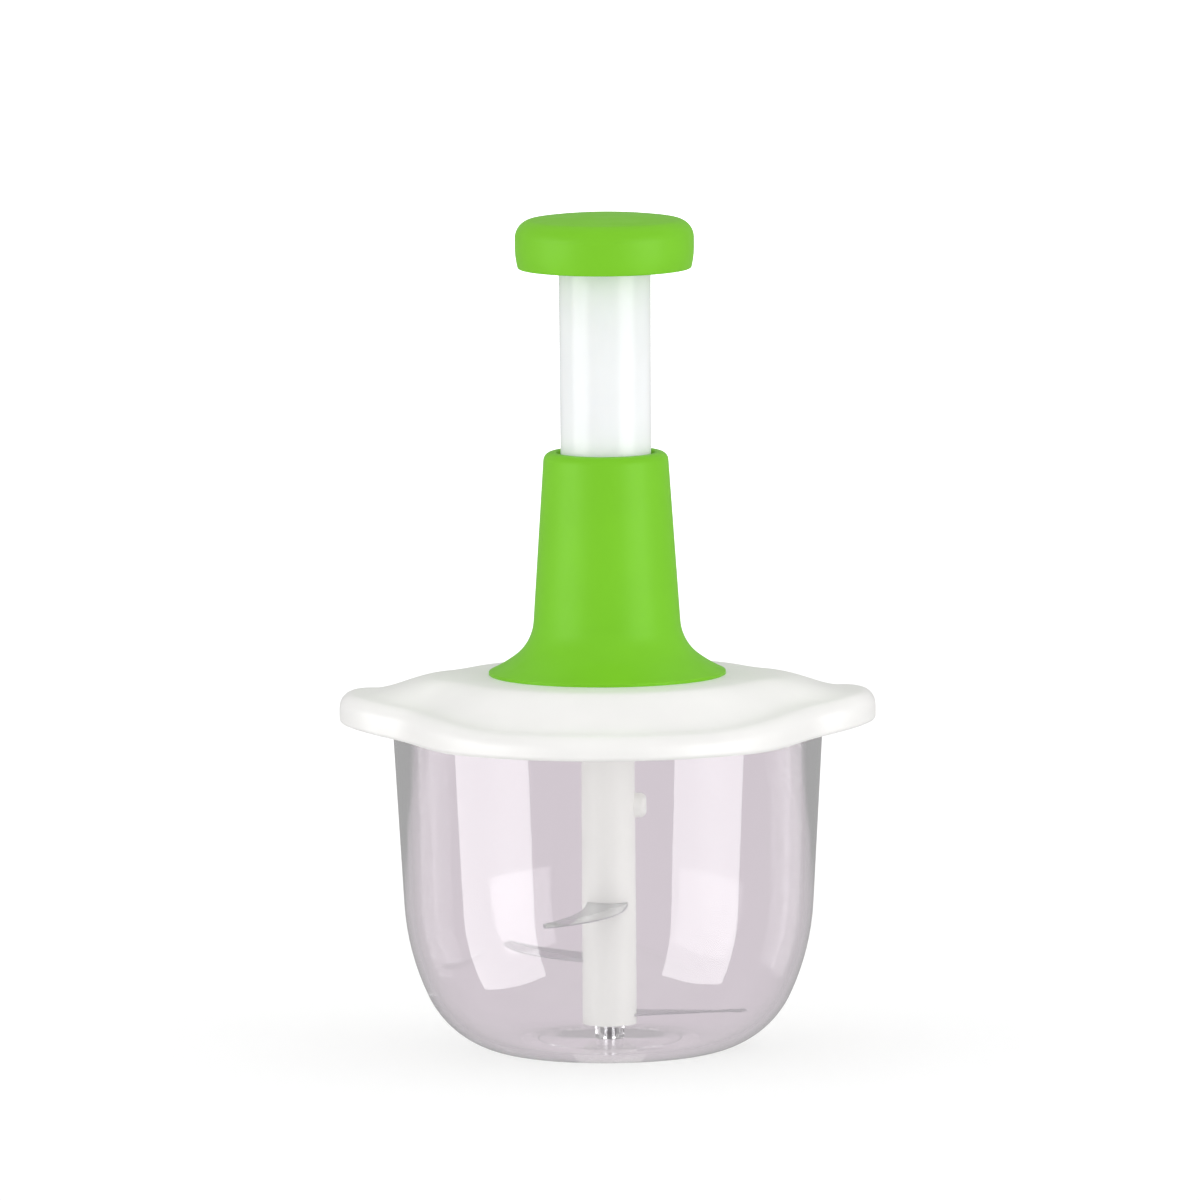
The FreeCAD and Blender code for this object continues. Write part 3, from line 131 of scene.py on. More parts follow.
class ChopperLidSizes(bpy.types.PropertyGroup):
    """Sizes of the white lid."""

    radius: length("Radius", "Round part of the lid", 71.72)
    skin: length("Skin", "Thickness of the lid", 2)
    seat_radius: length("Seat", "Flat seat under the column", 38.3)
    bore: length("Bore", "Hole for the drive tube", 9.3)
    hub_radius: length("Hub", "Ring that holds down the drive tube", 14)
    hub_gap: length("Hub gap", "Thrust washer to the foot of that ring", 2.8)
    ear_reach: length("Ear reach", "Middle of the lid to the end of an ear", 86.2)
    ear_half_width: length("Ear half width", "Half the width of an ear", 28.5)
    ear_corner: length("Ear corner", "Rounded corner of an ear", 25.5)
    ear_fillet: length("Ear fillet", "Hollow between an ear and the round part", 25)
    edge_rise: length("Edge height", "Top edge at the front above the bowl's rim", 5.6)
    edge_lift: length("Edge lift", "Rise of the top edge towards the ears", 6.6)
    lift_start: length("Edge lift start", "Where that rise starts, from the middle", 35)
    lift_end: length("Edge lift end", "Where that rise ends, from the middle", 90)
    edge_round: length("Edge rounding", "Rounding between the lid's side and its top", 5)
    hem_drop: length("Hem drop", "Lower edge at the front below the bowl's rim", 2.4)
    hem_lift: length("Hem lift", "Rise of the lower edge towards the ears", 5.7)
    hem_start: length("Hem lift start", "Where that rise starts, from the middle", 48)
    hem_end: length("Hem lift end", "Where that rise ends, from the middle", 99)
    hem_round: length("Hem rounding", "Rounding of the lower edge", 1.6)
    dome_power: factor("Dome power", "How late the lid's top falls to its edge", 3.5, 1, 6)
    hollow_share: factor("Edge hollow", "Share of the dome, from its edge, that is hollow", 0.6, 0.01, 1)


class ChopperColumnSizes(bpy.types.PropertyGroup):
    """Sizes of the green column and of the plunger tube in it."""

    base: length("Base", "Radius of the column's base", 38.1)
    wall: length("Wall", "Thickness of the column", 2.2)
    draft: angle("Draft", "Inward lean of the column's wall", 3.83)
    neck_radius: length("Neck", "Radius where the flare starts", 23.61)
    neck_height: length("Neck height", "Height of that place above the lid", 17.2)
    flare_radius: length("Flare", "Upper curve of the flare", 15.35)
    flare_sweep: angle("Flare sweep", "Angle that this curve turns", 49)
    skirt_radius: length("Skirt", "Lower curve of the flare", 43.3)
    mouth_radius: length("Mouth", "Radius of the hole in the mouth", 15.9)
    mouth_round: length("Mouth rounding", "Rounding of the mouth's outer edge", 2.6)
    mouth_edge: length("Mouth edge", "Rounding of the mouth's inner edge", 0.64)
    mouth_lip: length("Mouth lip", "Height of the lip above the guide ring", 2.3)
    ring_seat: length("Ring seat", "Radius of the seat of the guide ring", 17.45)
    ring_length: length("Ring length", "Height of that seat", 9.7)
    tube_foot: length("Tube foot", "Radius of the plunger tube at its flange", 14.5)
    tube_radius: length("Tube top", "Radius of the plunger tube at the knob", 14.8)
    tube_bore: length("Tube bore", "Inside radius of the plunger tube", 12.8)
    flange_radius: length("Flange", "Stop flange of the plunger tube", 16.9)
    flange_gap: length("Flange gap", "Stop flange to the guide ring at rest", 0.3)
    groove_depth: length("Groove", "Depth of the clip's groove", 0.8)
    groove_play: length("Groove play", "Room under and over the clip", 0.05)
    edge_break: length("Broken edges", "Rounding of the other moulded edges", 0.4)


class ChopperKnobSizes(bpy.types.PropertyGroup):
    """Sizes of the green knob."""

    radius: length("Radius", "Widest radius of the knob", 28.8)
    wall: length("Wall", "Thickness of the knob", 2.4)
    tuck: length("Tuck", "How much narrower the lower edge is", 0.9)
    waist: length("Waist", "Height of the widest place", 7)
    side_radius: length("Side", "Curve below that place", 28)
    shoulder: length("Shoulder", "Curve between side and crown", 6)
    crown: length("Crown", "Curve of the crown", 166)
    edge_break: length("Broken edge", "Rounding of the lower edge", 0.5)


class ChopperBladeSizes(bpy.types.PropertyGroup):
    """Sizes of the three blades and of the return spring."""

    thickness: length("Thickness", "Sheet of the blades", 1.2)
    root: length("Root", "Width of a blade at the shaft", 13)
    seat: length("Seat", "A blade's seated end from the axis", 5.2)
    neck: length("Neck", "Where a blade starts to curve, from the axis", 10.2)
    sweep: length("Sweep", "How far a blade's tip trails", 15)
    tip: length("Tip", "Width of a blade's tip", 2.4)
    edge_radius: length("Cutting edge", "Curve of the cutting edge", 62)
    back_radius: length("Back", "Curve of the back edge", 85)
    bevel_depth: length("Bevel depth", "Depth of the ground bevel", 0.8)
    bevel_width: length("Bevel width", "Width of the ground bevel", 4)
    reach_lower: length("Lower reach", "Lowest blade's tip from the axis", 45)
    reach_middle: length("Middle reach", "Middle blade's tip from the axis", 55)
    reach_upper: length("Upper reach", "Highest blade's tip from the axis", 58)
    turn: angle("Turn", "Angle from the right ear to the lowest blade", 25)
    wire_radius: length("Wire", "Radius of the spring's wire", 0.7)
    coil_radius: length("Coil", "Middle of the wire from the axis", 10.9)
    coil_count: bpy.props.IntProperty(
        name="Coils", description="Turns of the return spring", default=16, min=2,
    )


class ChopperColours(bpy.types.PropertyGroup):
    """Colours of the finishes."""

    clear: colour("Clear", "Tint of the clear bowl", "#FCFBFC")
    green: colour("Green", "Green plastic of column and knob", "#7CC929")
    white: colour("White", "White plastic of lid and liner", "#F3F2F0")
    # Partly painted light: the shaft's own warm white, set lighter than the lid's white to make up for the
    # light that the bowl's walls take from it.
    shaft: colour("Shaft", "White plastic of the blade shaft", "#FCFBF8")
    tube: colour("Tube", "White plastic of the plunger tube", "#F4F6F7")
    silicone: colour("Silicone", "Milky silicone of the gasket", "#E9EAEA")
    acetal: colour("Acetal", "Natural acetal of bushes and rings", "#ECEAE2")
    stainless: colour("Stainless", "Stainless steel of pins and blades", "#D2D3D4")
    spring: colour("Spring", "Drawn spring wire", "#A9AAAD")
    zinc: colour("Zinc", "Zinc plating of the screws", "#C3C9CF")


PIECE_GROUPS = {
    "chopper_bowl": ChopperBowlSizes,
    "chopper_lid": ChopperLidSizes,
    "chopper_column": ChopperColumnSizes,
    "chopper_knob": ChopperKnobSizes,
    "chopper_blades": ChopperBladeSizes,
    "chopper_colours": ChopperColours,
}


# ---------------- modelling


def clear_selection():
    """Leave nothing selected, in object mode."""
    if bpy.context.mode != "OBJECT":
        bpy.ops.object.mode_set(mode="OBJECT")
    bpy.ops.object.select_all(action="DESELECT")


def edit_all():
    """Enter edit mode with everything selected."""
    bpy.ops.object.mode_set(mode="EDIT")
    bpy.ops.mesh.select_mode(type="VERT")
    bpy.ops.mesh.select_all(action="SELECT")


def close_mesh():
    """Merge the doubles, point the faces outwards and leave edit mode."""
    bpy.ops.mesh.select_all(action="SELECT")
    bpy.ops.mesh.remove_doubles(threshold=SAME_PLACE)
    bpy.ops.mesh.normals_make_consistent(inside=False)
    bpy.ops.object.mode_set(mode="OBJECT")


def arc_points(start, end, radius):
    """Points between the ends of an arc, its centre left of the way if the radius is positive."""
    half = (end - start) / 2
    side = copysign(1, radius)
    left = Vector((-half.y, half.x)).normalized()
    centre = start + half + left * side * sqrt(radius**2 - half.length_squared)
    sweep = 2 * side * asin(half.length / abs(radius))
    count = max(6, ceil(abs(sweep) / ARC_STEP))
    turns = (Matrix.Rotation(sweep * index / count, 2) for index in range(1, count))
    return [centre + turn @ (start - centre) for turn in turns]


def profile(corners):
    """Points (radius, height) of a closed section, counter-clockwise.

    A third number is the radius of the arc to the next corner, positive where the section
    bulges and negative where it is hollow.
    """
    points = []
    for corner, following in zip(corners, corners[1:] + corners[:1]):
        start, end = Vector(corner[:2]), Vector(following[:2])
        points.append(start)
        if len(corner) > 2:
            points += arc_points(start, end, corner[2])
    return points


def ease(value, start, end):
    """From 0 at the start to 1 at the end, level at both."""
    share = min(max((value - start) / (end - start), 0), 1)
    return share * share * (3 - 2 * share)


def turn_piece(name, corners, base=0):
    """Draw a section from one vertex at a height, edge by edge, and spin it about the axis."""
    points = [point + Vector((0, base)) for point in profile(corners)]
    clear_selection()
    bpy.ops.mesh.primitive_plane_add(size=MM, location=(points[0].x, 0, points[0].y))
    piece = bpy.context.object
    piece.name = piece.data.name = name
    edit_all()
    bpy.ops.mesh.merge(type="CENTER")
    for before, after in zip(points, points[1:] + points[:1]):
        move = (after.x - before.x, 0, after.y - before.y)
        bpy.ops.mesh.extrude_region_move(TRANSFORM_OT_translate={"value": move})
    bpy.ops.mesh.select_all(action="SELECT")
    bpy.ops.mesh.spin(steps=TURN_STEPS, angle=tau, center=(0, 0, 0), axis=(0, 0, 1))
    close_mesh()
    bpy.ops.object.transform_apply(location=True, rotation=True, scale=True)
    return piece


def select_edges(piece, test):
    """Select only the edges whose two ends pass a test."""
    bpy.ops.mesh.select_mode(type="EDGE")
    bpy.ops.mesh.select_all(action="DESELECT")
    mesh = bmesh.from_edit_mesh(piece.data)
    for edge in mesh.edges:
        edge.select_set(all(test(vertex.co) for vertex in edge.verts))
    bmesh.update_edit_mesh(piece.data)


def round_rings(piece, rings, segments=5):
    """Bevel the ring edges of a turned piece that lie at a radius and height, each to its width."""
    edit_all()
    for radius, height, width in rings:
        select_edges(piece, lambda place: (
            abs(hypot(place.x, place.y) - radius) < SAME_RING and abs(place.z - height) < SAME_RING
        ))
        bpy.ops.mesh.bevel(offset=width, segments=segments, affect="EDGES")
    bpy.ops.object.mode_set(mode="OBJECT")


def skin_rings(name, rings, caps):
    """Extrude a circle of edges from ring to ring; caps closes the first and the last."""
    clear_selection()
    bpy.ops.mesh.primitive_circle_add(vertices=len(rings[0]), radius=MM)
    piece = bpy.context.object
    piece.name = piece.data.name = name
    for vertex, place in zip(piece.data.vertices, rings[0]):
        vertex.co = place
    edit_all()
    if caps:
        bpy.ops.mesh.edge_face_add()
    for ring in rings[1:]:
        bpy.ops.mesh.extrude_region_move()
        mesh = bmesh.from_edit_mesh(piece.data)
        for vertex, place in zip([vertex for vertex in mesh.verts if vertex.select], ring):
            vertex.co = place
        bmesh.update_edit_mesh(piece.data)
    close_mesh()
    return piece


def hand_over(piece, finish, body, slot, *nodes, smooth=30):
    """Shade a finished piece, give it its finish and body, and hide the nodes that it takes the place of.
    """
    clear_selection()
    piece.select_set(True)
    bpy.context.view_layer.objects.active = piece
    bpy.ops.object.shade_smooth_by_angle(angle=radians(smooth))
    piece.data.materials.clear()
    piece.data.materials.append(FINISHES[finish])
    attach(piece, body)
    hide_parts(*nodes)
    piece.select_set(False)


# ---------------- finishes


def add_node(tree, kind, settings=None, links=None):
    """Add a node, set its sockets and properties, and link its sockets to outputs."""
    node = tree.nodes.new(kind)
    for name, setting in (settings or {}).items():
        if name in node.inputs:
            node.inputs[name].default_value = setting
        else:
            setattr(node, name, setting)
    for name, output in (links or {}).items():
        tree.links.new(output, node.inputs[name])
    return node


def new_material(name, settings):
    """A material whose shader has these settings, its tree and the piece's own coordinates."""
    material = bpy.data.materials.new(name)
    material.use_nodes = True
    tree = material.node_tree
    tree.nodes.clear()
    shader = add_node(tree, "ShaderNodeBsdfPrincipled", settings)
    add_node(tree, "ShaderNodeOutputMaterial", links={"Surface": shader.outputs["BSDF"]})
    place = add_node(tree, "ShaderNodeTexCoord").outputs["Object"]
    return material, tree, shader, place


def rgba(tint, share=1.0):
    """A linear colour with alpha, lighter or darker by a share."""
    return tuple(min(1.0, part * share) for part in tint) + (1.0,)


def any_of(tree, largest, *shares):
    """1 where one of some shares is 1."""
    for share in shares:
        links = {"Value": largest, "Value_001": share}
        largest = add_node(tree, "ShaderNodeMath", {"operation": "MAXIMUM"}, links).outputs[0]
    return largest


def show_where(tree, share, shader, other):
    """Show another shader in the place of the first where a share is 1."""
    links = {"Fac": share, "Shader": shader.outputs[0], "Shader_001": other.outputs[0]}
    mix = add_node(tree, "ShaderNodeMixShader", links=links)
    tree.links.new(mix.outputs[0], tree.get_output_node("ALL").inputs["Surface"])
    return mix


def lumps(tree, place, size, detail=2.0, spread=None):
    """A pattern with lumps of a size in millimetres, as it is or spread from a number to another."""
    noise = add_node(
        tree, "ShaderNodeTexNoise", {"Scale": 1 / (size * MM), "Detail": detail}, {"Vector": place},
    )
    if not spread:
        return noise.outputs["Fac"]
    low, high = spread
    even = add_node(
        tree, "ShaderNodeMapRange",
        {
            "interpolation_type": "SMOOTHSTEP", "From Min": 0.25, "From Max": 0.75,
            "To Min": low, "To Max": high,
        },
        {"Value": noise.outputs["Fac"]},
    )
    return even.outputs["Result"]


def dress(tree, shader, tint, shades, tone, rough, relief, depth):
    """Give a shader its patterns.

    The tone mixes two shades of the tint, rough is the roughness, and the relief raises the
    surface by up to a depth in millimetres.
    """
    dark, light = (rgba(tint, shade) for shade in shades)
    mix = add_node(tree, "ShaderNodeMix", {"data_type": "RGBA", "A": dark, "B": light}, {"Factor": tone})
    bump = add_node(tree, "ShaderNodeBump", {"Distance": depth * MM}, {"Height": relief})
    tree.links.new(mix.outputs["Result"], shader.inputs["Base Color"])
    tree.links.new(bump.outputs["Normal"], shader.inputs["Normal"])
    if rough:
        tree.links.new(rough, shader.inputs["Roughness"])


def moulded_plastic(name, tint, rough, lump, depth, ior=1.5, gloss=0.5, glow=0.0):
    """Injection-moulded thermoplastic: even colour, a faint flow pattern and a fine mould grain."""
    material, tree, shader, place = new_material(name, {
        "IOR": ior, "Specular IOR Level": gloss, "Subsurface Weight": glow,
        "Subsurface Radius": (1.0, 0.9, 0.8), "Subsurface Scale": 1.5 * MM,
    })
    flow = lumps(tree, place, 24, spread=(0, 1))
    gleam = lumps(tree, place, 7, spread=(rough - 0.03, rough + 0.04))
    dress(tree, shader, tint, (0.975, 1.015), flow, gleam, lumps(tree, place, lump, 3.0), depth)
    return material


def clear_san(tint):
    """SAN, a clear styrene plastic, moulded against polished steel.

    It is bright and hard-looking. Slow waves from the melt's flow bend what is seen through
    it, and use leaves hairlines that only lift the roughness a little. Shadow and diffuse
    rays pass it, so that what stands in the bowl is lit, and so do rays reflected twice.
    """
    material, tree, shader, place = new_material(
        "clear SAN, moulded against polished steel",
        {"Base Color": rgba(tint), "IOR": 1.57, "Transmission Weight": 1.0},
    )
    waves = add_node(tree, "ShaderNodeMapping", {"Scale": (1, 1, 0.25)}, {"Vector": place})
    height = lumps(tree, waves.outputs["Vector"], 9, 1.0)
    bump = add_node(tree, "ShaderNodeBump", {"Distance": 0.02 * MM}, {"Height": height})
    tree.links.new(bump.outputs["Normal"], shader.inputs["Normal"])
    tree.links.new(lumps(tree, place, 5, spread=(0.032, 0.05)), shader.inputs["Roughness"])
    rays = add_node(tree, "ShaderNodeLightPath").outputs
    twice = add_node(
        tree, "ShaderNodeMath", {"operation": "GREATER_THAN", "Value_001": 1.5},
        {"Value": rays["Glossy Depth"]},
    )
    passing = any_of(tree, twice.outputs[0], rays["Is Shadow Ray"], rays["Is Diffuse Ray"])
    through = add_node(tree, "ShaderNodeBsdfTransparent", {"Color": (0.98, 0.98, 0.98, 1)})
    show_where(tree, passing, shader, through)
    return material


def rolled_stainless(tint):
    """Rolled and brushed stainless strip: fine lines along each blade and a soft sheen.

    The lines run outwards from the axis. Those of a real brushed face are 0.05 mm apart; here
    they are 0.4 mm apart at 30 mm from the axis and 14 mm long, so that they show.
    """
    material, tree, shader, place = new_material("stainless strip, rolled and brushed", {"Metallic": 1.0})
    parts = add_node(tree, "ShaderNodeSeparateXYZ", links={"Vector": place}).outputs
    bearing = add_node(
        tree, "ShaderNodeMath", {"operation": "ARCTAN2"}, {"Value": parts["Y"], "Value_001": parts["X"]},
    )
    reach = add_node(tree, "ShaderNodeVectorMath", {"operation": "LENGTH"}, {"Vector": place})
    polar = {"X": bearing.outputs[0], "Y": reach.outputs["Value"]}
    polar = add_node(tree, "ShaderNodeCombineXYZ", links=polar).outputs["Vector"]
    scale = {"Scale": (30 / 0.4, 1 / (14 * MM), 1)}
    spread = add_node(tree, "ShaderNodeMapping", scale, {"Vector": polar}).outputs["Vector"]
    noise = {"Scale": 1.0, "Detail": 4.0}
    lines = add_node(tree, "ShaderNodeTexNoise", noise, {"Vector": spread}).outputs["Fac"]
    gleam = add_node(
        tree, "ShaderNodeMapRange",
        {"From Min": 0.3, "From Max": 0.7, "To Min": 0.29, "To Max": 0.38}, {"Value": lines},
    )
    dress(tree, shader, tint, (0.93, 1.04), lines, gleam.outputs["Result"], lines, 0.012)
    return material


def ground_stainless(tint):
    """Stainless cutting bevel, ground across the edge: bright, with grit marks across it."""
    settings = {"Metallic": 1.0, "Roughness": 0.14}
    material, tree, shader, place = new_material("stainless bevel, ground", settings)
    grit = lumps(tree, place, 0.5, 3.0)
    dress(tree, shader, tint, (0.98, 1.12), grit, None, grit, 0.006)
    return material


def plain_metal(name, tint, rough, size):
    """Drawn, turned or plated steel: a soft mottle in its sheen."""
    material, tree, shader, place = new_material(name, {"Metallic": 1.0})
    mottle = lumps(tree, place, size, 3.0, (0, 1))
    gleam = lumps(tree, place, size, spread=(rough - 0.05, rough + 0.06))
    dress(tree, shader, tint, (0.94, 1.03), mottle, gleam, mottle, 0.004)
    return material


def milky_silicone(tint):
    """Moulded silicone rubber: milky, soft and slightly greasy to look at."""
    material, tree, shader, place = new_material("silicone rubber, moulded", {
        "IOR": 1.41, "Subsurface Weight": 0.5, "Subsurface Radius": (1.0, 1.0, 1.0),
        "Subsurface Scale": 2 * MM,
    })
    haze = lumps(tree, place, 10, spread=(0, 1))
    gleam = lumps(tree, place, 2, spread=(0.42, 0.55))
    dress(tree, shader, tint, (0.96, 1.02), haze, gleam, lumps(tree, place, 0.8), 0.01)
    return material


FINISHES = {}


def make_finishes():
    """Every finish, by the name that the pieces ask for."""
    tints = bpy.context.scene.chopper_colours
    FINISHES.update(
        clear=clear_san(tints.clear),
        # a satin mould gives the green pieces wide, weak highlights
        green=moulded_plastic(
            "green polypropylene, moulded satin", tints.green, 0.41, 1.1, 0.010, gloss=0.12,
        ),
        # a polished mould gives the white pieces softer or harder gloss by their plastic
        white=moulded_plastic("white ABS, moulded", tints.white, 0.34, 1.4, 0.006, 1.54, gloss=0.3),
        # Partly painted light: the shaft's white is set lighter than the lid's to make up for the light
        # that the bowl's walls take from it.
        shaft=moulded_plastic("white acetal, moulded", tints.shaft, 0.36, 1.8, 0.004, 1.48),
        tube=moulded_plastic(
            "white polypropylene, moulded smooth", tints.tube, 0.22, 2.2, 0.004, gloss=0.25, glow=0.1,
        ),
        # natural acetal is milky and looks waxy
        acetal=moulded_plastic(
            "natural acetal, moulded", tints.acetal, 0.4, 1.2, 0.006, 1.48, glow=0.1,
        ),
        silicone=milky_silicone(tints.silicone),
        blade=rolled_stainless(tints.stainless),
        bevel=ground_stainless(tints.stainless),
        # turning leaves pins bright, drawing leaves wire dull, and zinc is bluish and soft
        pin=plain_metal("stainless steel, turned", tints.stainless, 0.2, 1.5),
        spring=plain_metal("spring wire, drawn", tints.spring, 0.36, 2.0),
        screw=plain_metal("steel, zinc plated", tints.zinc, 0.34, 1.0),
    )


# ---------------- pieces


class CHOPPER_OT_finishes(bpy.types.Operator):
    """Make every finish and give the inner pieces theirs"""

    bl_idname = "chopper.finishes"
    bl_label = "Finishes"

    NODES = {
        "white": ("lid_liner", "drive_socket", "strip_holder", "drive_tube", "guide_ring", "spring_seat"),
        "shaft": ("blade_shaft",),
        "green": ("knob_base_plate",),
        "acetal": ("shaft_bush", "bearing_bush", "drive_nut"),
        "silicone": ("rim_gasket",),
        "pin": (
            "pivot_pin", "thrust_washer", "drive_strip", "socket_pin", "strip_anchor_pin", "spring_washer",
        ),
        "spring": ("retaining_clip",),
        "screw": ("column_screws", "knob_screws"),
    }

    def execute(self, context):
        make_finishes()
        for finish, names in self.NODES.items():
            for name in names:
                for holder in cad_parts[name].material_slots:
                    holder.material = FINISHES[finish]
        return {"FINISHED"}


class CHOPPER_OT_bowl(bpy.types.Operator):
    """Turn the clear bowl with its foot ring, gate mark and pin boss"""

    bl_idname = "chopper.bowl"
    bl_label = "Bowl"

    def execute(self, context):
        size = context.scene.chopper_bowl
        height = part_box("bowl")[1][2]
        outer, inner = self.side(size, height, 0), self.side(size, height, size.wall)
        recess = size.foot_radius - size.foot_ring
        boss_top = size.wall + size.boss_height
        hole_foot = boss_top - size.pin_seat
        gate = size.foot_recess + size.gate_depth
        gate_floor = size.gate_radius * 0.7
        piece = turn_piece("clear_bowl", [
            (0, gate), (gate_floor, gate), (size.gate_radius, size.foot_recess),
            (recess, size.foot_recess), (recess, 0),
            (*outer[0], size.corner_radius), (*outer[1], size.belly_radius), outer[2], outer[3],
            inner[3], (*inner[2], size.wall - size.belly_radius),
            (*inner[1], size.wall - size.corner_radius), inner[0],
            (size.boss_radius, size.wall), (size.boss_radius, boss_top),
            (size.pin_radius, boss_top), (size.pin_radius, hole_foot), (0, hole_foot),
        ])
        round_rings(piece, [
            (outer[3][0], height, size.rim_round), (inner[3][0], height, size.rim_round),
            (recess, 0, size.rim_round / 2), (size.boss_radius, size.wall, size.rim_round),
            (size.boss_radius, boss_top, size.rim_round / 2),
        ])
        hand_over(piece, "clear", "bowl", "clear_bowl", "bowl")
        return {"FINISHED"}

    @staticmethod
    def side(size, height, inset):
        """Corners of the bowl's side from foot to rim, at a distance inside its outer face."""
        corner, belly = size.corner_radius - inset, size.belly_radius - inset
        step = size.belly_radius - size.corner_radius
        sweep, draft = size.corner_sweep, size.wall_draft
        centre_x = size.foot_radius - step * sin(sweep)
        centre_z = size.corner_radius + step * cos(sweep)
        end_x, end_z = centre_x + belly * cos(draft), centre_z - belly * sin(draft)
        return [
            (size.foot_radius, inset),
            (size.foot_radius + corner * sin(sweep), size.corner_radius - corner * cos(sweep)),
            (end_x, end_z),
            (end_x + (height - end_z) * tan(draft), height),
        ]


class CHOPPER_OT_lid(bpy.types.Operator):
    """Extrude the lid ring by ring from its wavy hem to the column's seat and its bore"""

    bl_idname = "chopper.lid"
    bl_label = "Lid"

    def execute(self, context):
        size = context.scene.chopper_lid
        rim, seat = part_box("bowl")[1][2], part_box("column")[0][2]
        hub_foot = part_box("thrust_washer")[1][2] + size.hub_gap
        outside = self.hem_rings(size, rim) + self.rings(size, rim, seat, 0)
        inside = self.rings(size, rim, seat, size.skin)
        hub = [self.circle(outside[-1], radius, height) for radius, height in (
            (size.hub_radius, seat), (size.bore, seat), (size.bore, hub_foot),
            (size.hub_radius, hub_foot), (size.hub_radius, seat - size.skin),
        )]
        rings = outside + hub + inside[::-1]
        piece = skin_rings("white_lid", rings + rings[:1], caps=False)
        hand_over(piece, "white", "lid", "white_plastic", "lid")
        return {"FINISHED"}

    @classmethod
    def hem_rings(cls, size, rim):
        """Rings round the lower edge, from its inner side to the foot of the lid's side."""
        rings = []
        for turn in range(0, 91, 15):
            inward = size.hem_round * (1 - sin(radians(turn)))
            raised = size.hem_round * (1 - cos(radians(turn)))
            rings.append(cls.ring(size, inward, lambda x: cls.hem(size, rim, x) + raised))
        return rings

    @classmethod
    def rings(cls, size, rim, seat, inset):
        """Rings over the lid's skin at a distance inside it, from its side up to the seat."""
        rounding = size.edge_round - inset
        rings = []
        if inset:
            chamfer = size.skin - size.hem_round
            rings.append(cls.ring(size, inset, lambda x: cls.hem(size, rim, x) + chamfer))
        for turn in range(0, 91, 10):
            inward = inset + rounding * (1 - cos(radians(turn)))
            drop = inset + rounding * (1 - sin(radians(turn)))
            rings.append(cls.ring(size, inward, lambda x: cls.edge(size, rim, x) - drop))
        shoulder = rings[-1]
        steps = 30
        for step in range(1, steps + 1):
            share = step / steps
            rise = (1 - (1 - share) ** size.dome_power) * ease(share, 0, size.hollow_share)
            ring = []
            for x, y, z in shoulder:
                scale = 1 + (size.seat_radius / hypot(x, y) - 1) * share
                ring.append((x * scale, y * scale, z + (seat - inset - z) * rise))
            rings.append(ring)
        return rings

    @classmethod
    def ring(cls, size, inward, height):
        """The outline moved inwards, each point at a height that depends on its x."""
        return [(x - nx * inward, y - ny * inward, height(x)) for (x, y), (nx, ny) in cls.outline(size)]

    @staticmethod
    def circle(ring, radius, height):
        """A level circle whose points have the bearings of a ring's points."""
        return [(x * radius / hypot(x, y), y * radius / hypot(x, y), height) for x, y, _ in ring]

    @staticmethod
    def outline(size):
        """Points and outward normals of the lid's outline, counter-clockwise from the right ear."""
        corner_x, corner_y = size.ear_reach - size.ear_corner, size.ear_half_width - size.ear_corner
        span = hypot(corner_x, corner_y)
        reach = size.radius + size.ear_fillet
        along = (reach**2 - (size.ear_corner + size.ear_fillet) ** 2 + span**2) / (2 * span)
        across = sqrt(reach**2 - along**2)
        fillet_x = (corner_x * along - corner_y * across) / span
        fillet_y = (corner_y * along + corner_x * across) / span
        join = atan2(fillet_y - corner_y, fillet_x - corner_x)
        turn = atan2(fillet_y, fillet_x)
        quarter = [((size.ear_reach, corner_y * step / 6), (1.0, 0.0)) for step in range(6)]
        for count, first, last, centre, radius, side in (
            (16, 0, join, (corner_x, corner_y), size.ear_corner, 1),
            (14, join, turn, (fillet_x, fillet_y), size.ear_fillet, -1),
            (20, turn, pi / 2, (0, 0), size.radius, 1),
        ):
            for step in range(count):
                bearing = first + (last - first) * step / count
                nx, ny = cos(bearing), sin(bearing)
                place = (centre[0] + side * radius * nx, centre[1] + side * radius * ny)
                quarter.append((place, (nx, ny)))
        half = quarter + [((0.0, size.radius), (0.0, 1.0))]
        half += [((-x, y), (-nx, ny)) for (x, y), (nx, ny) in reversed(quarter)]
        return half + [((x, -y), (nx, -ny)) for (x, y), (nx, ny) in reversed(half[1:-1])]

    @staticmethod
    def edge(size, rim, x):
        """Height of the top edge, which rises towards the ears."""
        return rim + size.edge_rise + size.edge_lift * ease(abs(x), size.lift_start, size.lift_end)

    @staticmethod
    def hem(size, rim, x):
        """Height of the lower edge, which rises towards the ears."""
        return rim - size.hem_drop + size.hem_lift * ease(abs(x), size.hem_start, size.hem_end)


